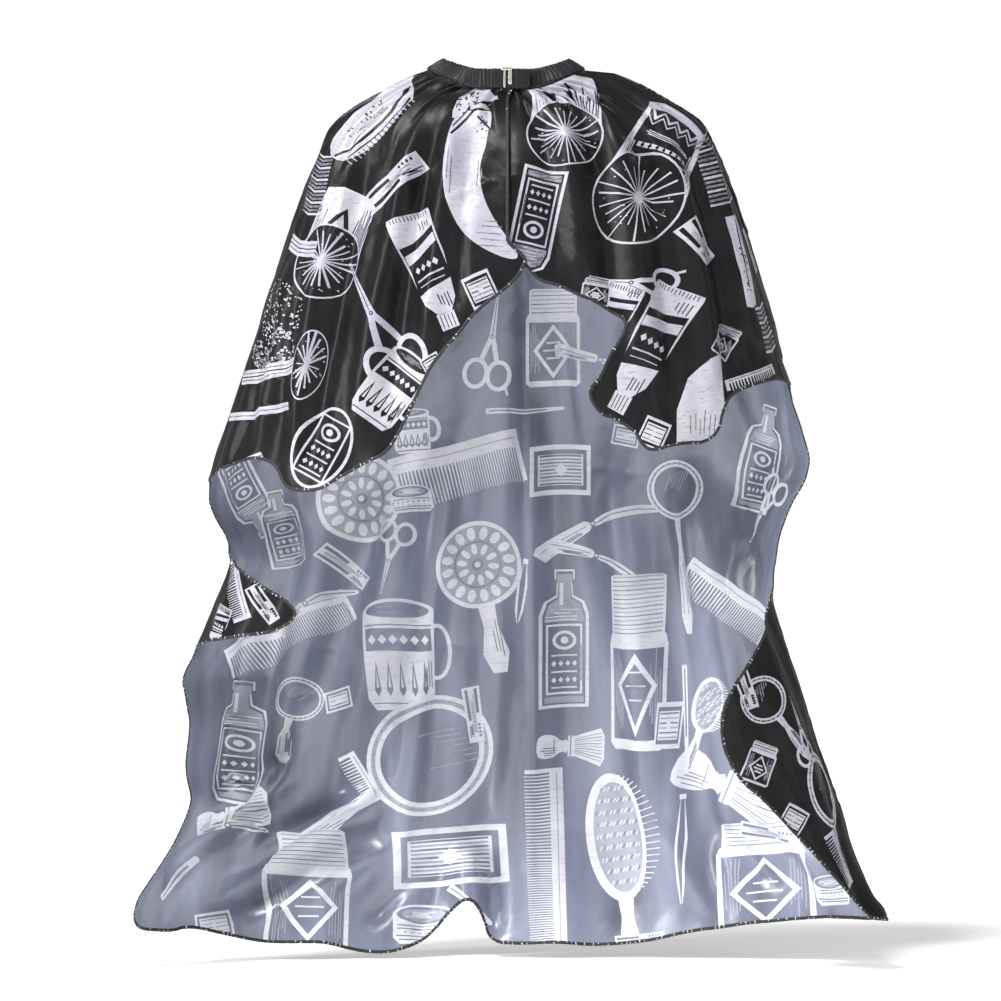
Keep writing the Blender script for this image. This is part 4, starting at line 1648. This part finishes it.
def bent_clip():
    """One strip of wire-like sheet: down the front as two prongs, over the top and
    down inside as the blade."""
    prof = []
    # a path in (y, z) from the front prong's foot over the bridge to the blade's tip
    y0, y1 = -65.3, -58.4
    zt = 11.2
    r = 1.1

    def strip(x0, x1, foot, back_tip, point, name_):
        path = [(y0 + 0.15, foot)]
        for f in np.linspace(0, 1, 9)[1:]:
            path.append((y0 + 0.15 * (1 - f), foot + (zt - r - foot) * f))
        for a in np.linspace(math.pi, math.pi / 2, 7)[1:]:
            path.append((y0 + r + r * math.cos(a), zt - r + r * math.sin(a)))
        for a in np.linspace(math.pi / 2, 0, 7):
            path.append((y1 - r + r * math.cos(a), zt - r + r * math.sin(a)))
        for f in np.linspace(0, 1, 9)[1:]:
            path.append((y1, zt - r + (back_tip - zt + r) * f))
        path = np.array(path)
        T = np.gradient(path, axis=0)
        T /= np.hypot(T[:, 0], T[:, 1])[:, None]
        N = np.stack([-T[:, 1], T[:, 0]], axis=-1)
        m = len(path)
        P = np.stack([np.full(m, (x0 + x1) / 2), path[:, 0], path[:, 1]], axis=-1)
        W = np.full(m, (x1 - x0) / 2)
        if point:
            W[0] *= 0.25
            W[1] *= 0.85
        else:
            W[0] *= 0.72
        U = np.tile([1.0, 0, 0], (m, 1))
        Nv = np.stack([np.zeros(m), N[:, 0], N[:, 1]], axis=-1)
        return sweep(P, U, Nv, W, 0.46, 16, 0.45)

    V, F = [], []
    for args in ((-2.9, -0.6, -12.0 + 0.3, -9.6, True, "a"),
                 (2.3, 6.3, -8.0 + 0.3, -9.6, False, "b")):
        v, f = strip(*args)
        k = sum(len(x) for x in V)
        V.append(v)
        F += [[q + k for q in face] for face in f]
    # the bridge bar across the top, a little proud of the prongs
    n = 15
    xs = np.linspace(-5.0, 6.3, n)
    for yy, half_y, zz, half_z in ((-62.0, 3.9, zt + 0.12, 0.62), (-65.35, 0.5, zt - 1.6, 1.5)):
        P = np.stack([xs, np.full(n, yy), np.full(n, zz)], axis=-1)
        w = np.full(n, half_y)
        h = np.full(n, half_z)
        w[[0, -1]] *= 0.93
        h[[0, -1]] *= 0.80
        v, f = sweep(P, np.tile([0, 1.0, 0], (n, 1)), np.tile([0, 0, 1.0], (n, 1)), w, h,
                     16, 0.4)
        k = sum(len(x) for x in V)
        V.append(v)
        F += [[q + k for q in face] for face in f]
    # the blade behind, one wide tongue
    m = 14
    zs = np.linspace(-9.9, zt - 0.6, m)
    P = np.stack([np.full(m, 0.65), np.full(m, -58.42), zs], axis=-1)
    W = np.full(m, 5.0)
    W[0], W[1] = 3.6, 4.7
    v, f = sweep(P, np.tile([1.0, 0, 0], (m, 1)), np.tile([0, 1.0, 0], (m, 1)), W, 0.44, 16,
                 0.4)
    k = sum(len(x) for x in V)
    V.append(v)
    F += [[q + k for q in face] for face in f]
    return make_object("neck_clasp", np.concatenate(V), F, [M_METAL])


clip = bent_clip()


def ribbon_tab():
    """A folded ribbon sleeve that stands open round the blade, ribbed across."""
    m = 60
    z = np.linspace(-11.5, 7.9, m)
    rib = 0.5 + 0.5 * np.sin(z * 5.2)
    sides = 28
    ph = np.linspace(0, 2 * math.pi, sides, endpoint=False)
    lo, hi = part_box("clip_tab")
    cx, cy = (lo[0] + hi[0]) * 500.0, (lo[1] + hi[1]) * 500.0
    hx, hy = (hi[0] - lo[0]) * 500.0, (hi[1] - lo[1]) * 500.0
    rings = []
    for shell in (0, 1):
        for a in ph:
            c, s_ = math.cos(a), math.sin(a)
            cu = math.copysign(abs(c) ** 0.3, c)
            cv = math.copysign(abs(s_) ** 0.3, s_)
            ax = hx - (0.38 if shell else 0.0)
            ay = hy - (0.38 if shell else 0.0)
            g = 0.05 * rib if not shell else 0.0 * rib
            rings.append(np.stack([cx + (ax - g) * cu, cy + (ay - g) * cv, z], axis=-1))
    V = np.stack(rings, axis=1).reshape(-1, 3)
    F = []
    i = np.arange(m - 1)[:, None] * (2 * sides)
    k = np.arange(sides)[None, :]
    k2 = (k + 1) % sides
    F += np.stack([i + k, i + k2, i + 2 * sides + k2, i + 2 * sides + k],
                  axis=-1).reshape(-1, 4).tolist()
    F += np.stack([i + sides + k, i + 3 * sides + k, i + 3 * sides + k2, i + sides + k2],
                  axis=-1).reshape(-1, 4).tolist()
    for j in range(sides):
        j2 = (j + 1) % sides
        F.append([j2, j, sides + j, sides + j2])
        o = (m - 1) * 2 * sides
        F.append([o + j, o + j2, o + sides + j2, o + sides + j])
    return make_object("clip_ribbon", V, F, [M_RIBBON])


tab = ribbon_tab()

# ------------------------------------------------------------------ rides and names
for ob, node, slot in (
        (cape_cloth, "cape_panel", "satin"), (band, "neckband_casing", "band_satin"),
        (elastic, "neckband_elastic", "elastic"), (topstitch, "band_topstitch", "thread"),
        (seam, "neck_seam_overlock", "thread"), (tack_ob, "bar_tacks", "thread")):
    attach(ob, "cape")
    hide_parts(node)
for node, ob in strips.items():
    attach(ob, "cape")
    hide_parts(node)
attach(clip, "clip")
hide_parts("neck_clip")
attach(tab, "tab")
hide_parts("clip_tab")

# ------------------------------------------------------------------ stage and light
floor_z = -0.981
me = bpy.data.meshes.new("floor")
me.from_pydata([(-30, -30, floor_z), (30, -30, floor_z), (30, 30, floor_z),
                (-30, 30, floor_z)], [], [(0, 1, 2, 3)])
floor = bpy.data.objects.new("floor", me)
bpy.context.scene.collection.objects.link(floor)
fm, fnt, fb = new_material("studio_floor")
fb.inputs["Base Color"].default_value = (0.97, 0.97, 0.97, 1)
fb.inputs["Roughness"].default_value = 0.9
fb.inputs["Emission Color"].default_value = (1.0, 1.0, 1.0, 1)
fb.inputs["Emission Strength"].default_value = 0.30
fb.inputs["Specular IOR Level"].default_value = 0.1
me.materials.append(fm)

world = bpy.data.worlds.new("studio")
bpy.context.scene.world = world
world.use_nodes = True
# the backdrop is plain white; it lights the cape less than the lamps do
wn = world.node_tree
bg = wn.nodes["Background"]
bg.inputs["Color"].default_value = (1.0, 1.0, 1.0, 1)
bg.inputs["Strength"].default_value = 0.31
bg2 = wn.nodes.new("ShaderNodeBackground")
bg2.inputs["Color"].default_value = (1.0, 1.0, 1.0, 1)
bg2.inputs["Strength"].default_value = 1.02
lp = wn.nodes.new("ShaderNodeLightPath")
mixw = wn.nodes.new("ShaderNodeMixShader")
wn.links.new(lp.outputs["Is Camera Ray"], mixw.inputs[0])
wn.links.new(bg.outputs[0], mixw.inputs[1])
wn.links.new(bg2.outputs[0], mixw.inputs[2])
wn.links.new(mixw.outputs[0], wn.nodes["World Output"].inputs["Surface"])


def area_light(name, loc, aim, size, energy, color=(1, 1, 1)):
    L = bpy.data.lights.new(name, "AREA")
    L.shape = "RECTANGLE"
    L.size, L.size_y = size
    L.energy = energy
    L.color = color
    ob = bpy.data.objects.new(name, L)
    ob.location = loc
    ob.rotation_euler = (Vector(aim) - Vector(loc)).to_track_quat("-Z", "Y").to_euler()
    bpy.context.scene.collection.objects.link(ob)


area_light("key_left", (-2.9, -1.7, 0.7), (0, 0, -0.4), (0.5, 2.2), 70)
area_light("key_right", (2.3, -2.6, 0.2), (0, 0, -0.4), (0.4, 2.4), 9)
area_light("top", (0.2, -1.5, 2.0), (0, 0, -0.5), (1.4, 0.6), 9)
sun = bpy.data.lights.new("overhead", "SUN")
sun.energy = 2.75
sun.angle = math.radians(11)
sun_ob = bpy.data.objects.new("overhead", sun)
sun_ob.rotation_euler = (math.radians(38), 0, math.radians(-32))
bpy.context.scene.collection.objects.link(sun_ob)

cam = bpy.data.cameras.new("camera")
cam_ob = bpy.data.objects.new("camera", cam)
bpy.context.scene.collection.objects.link(cam_ob)
aim = Vector((-0.00605, 0.0, -0.4626))
D, elev = 8.0, math.radians(1.5)
cam_ob.location = aim + Vector((0.0, -D * math.cos(elev), D * math.sin(elev)))
cam_ob.rotation_euler = (aim - cam_ob.location).to_track_quat("-Z", "Y").to_euler()
cam.sensor_width = 36.0
cam.lens = 36.0 * D / 1.1011
cam.clip_end = 100.0
bpy.context.scene.camera = cam_ob
bpy.context.scene.view_settings.view_transform = "Standard"
bpy.context.scene.view_settings.look = "None"
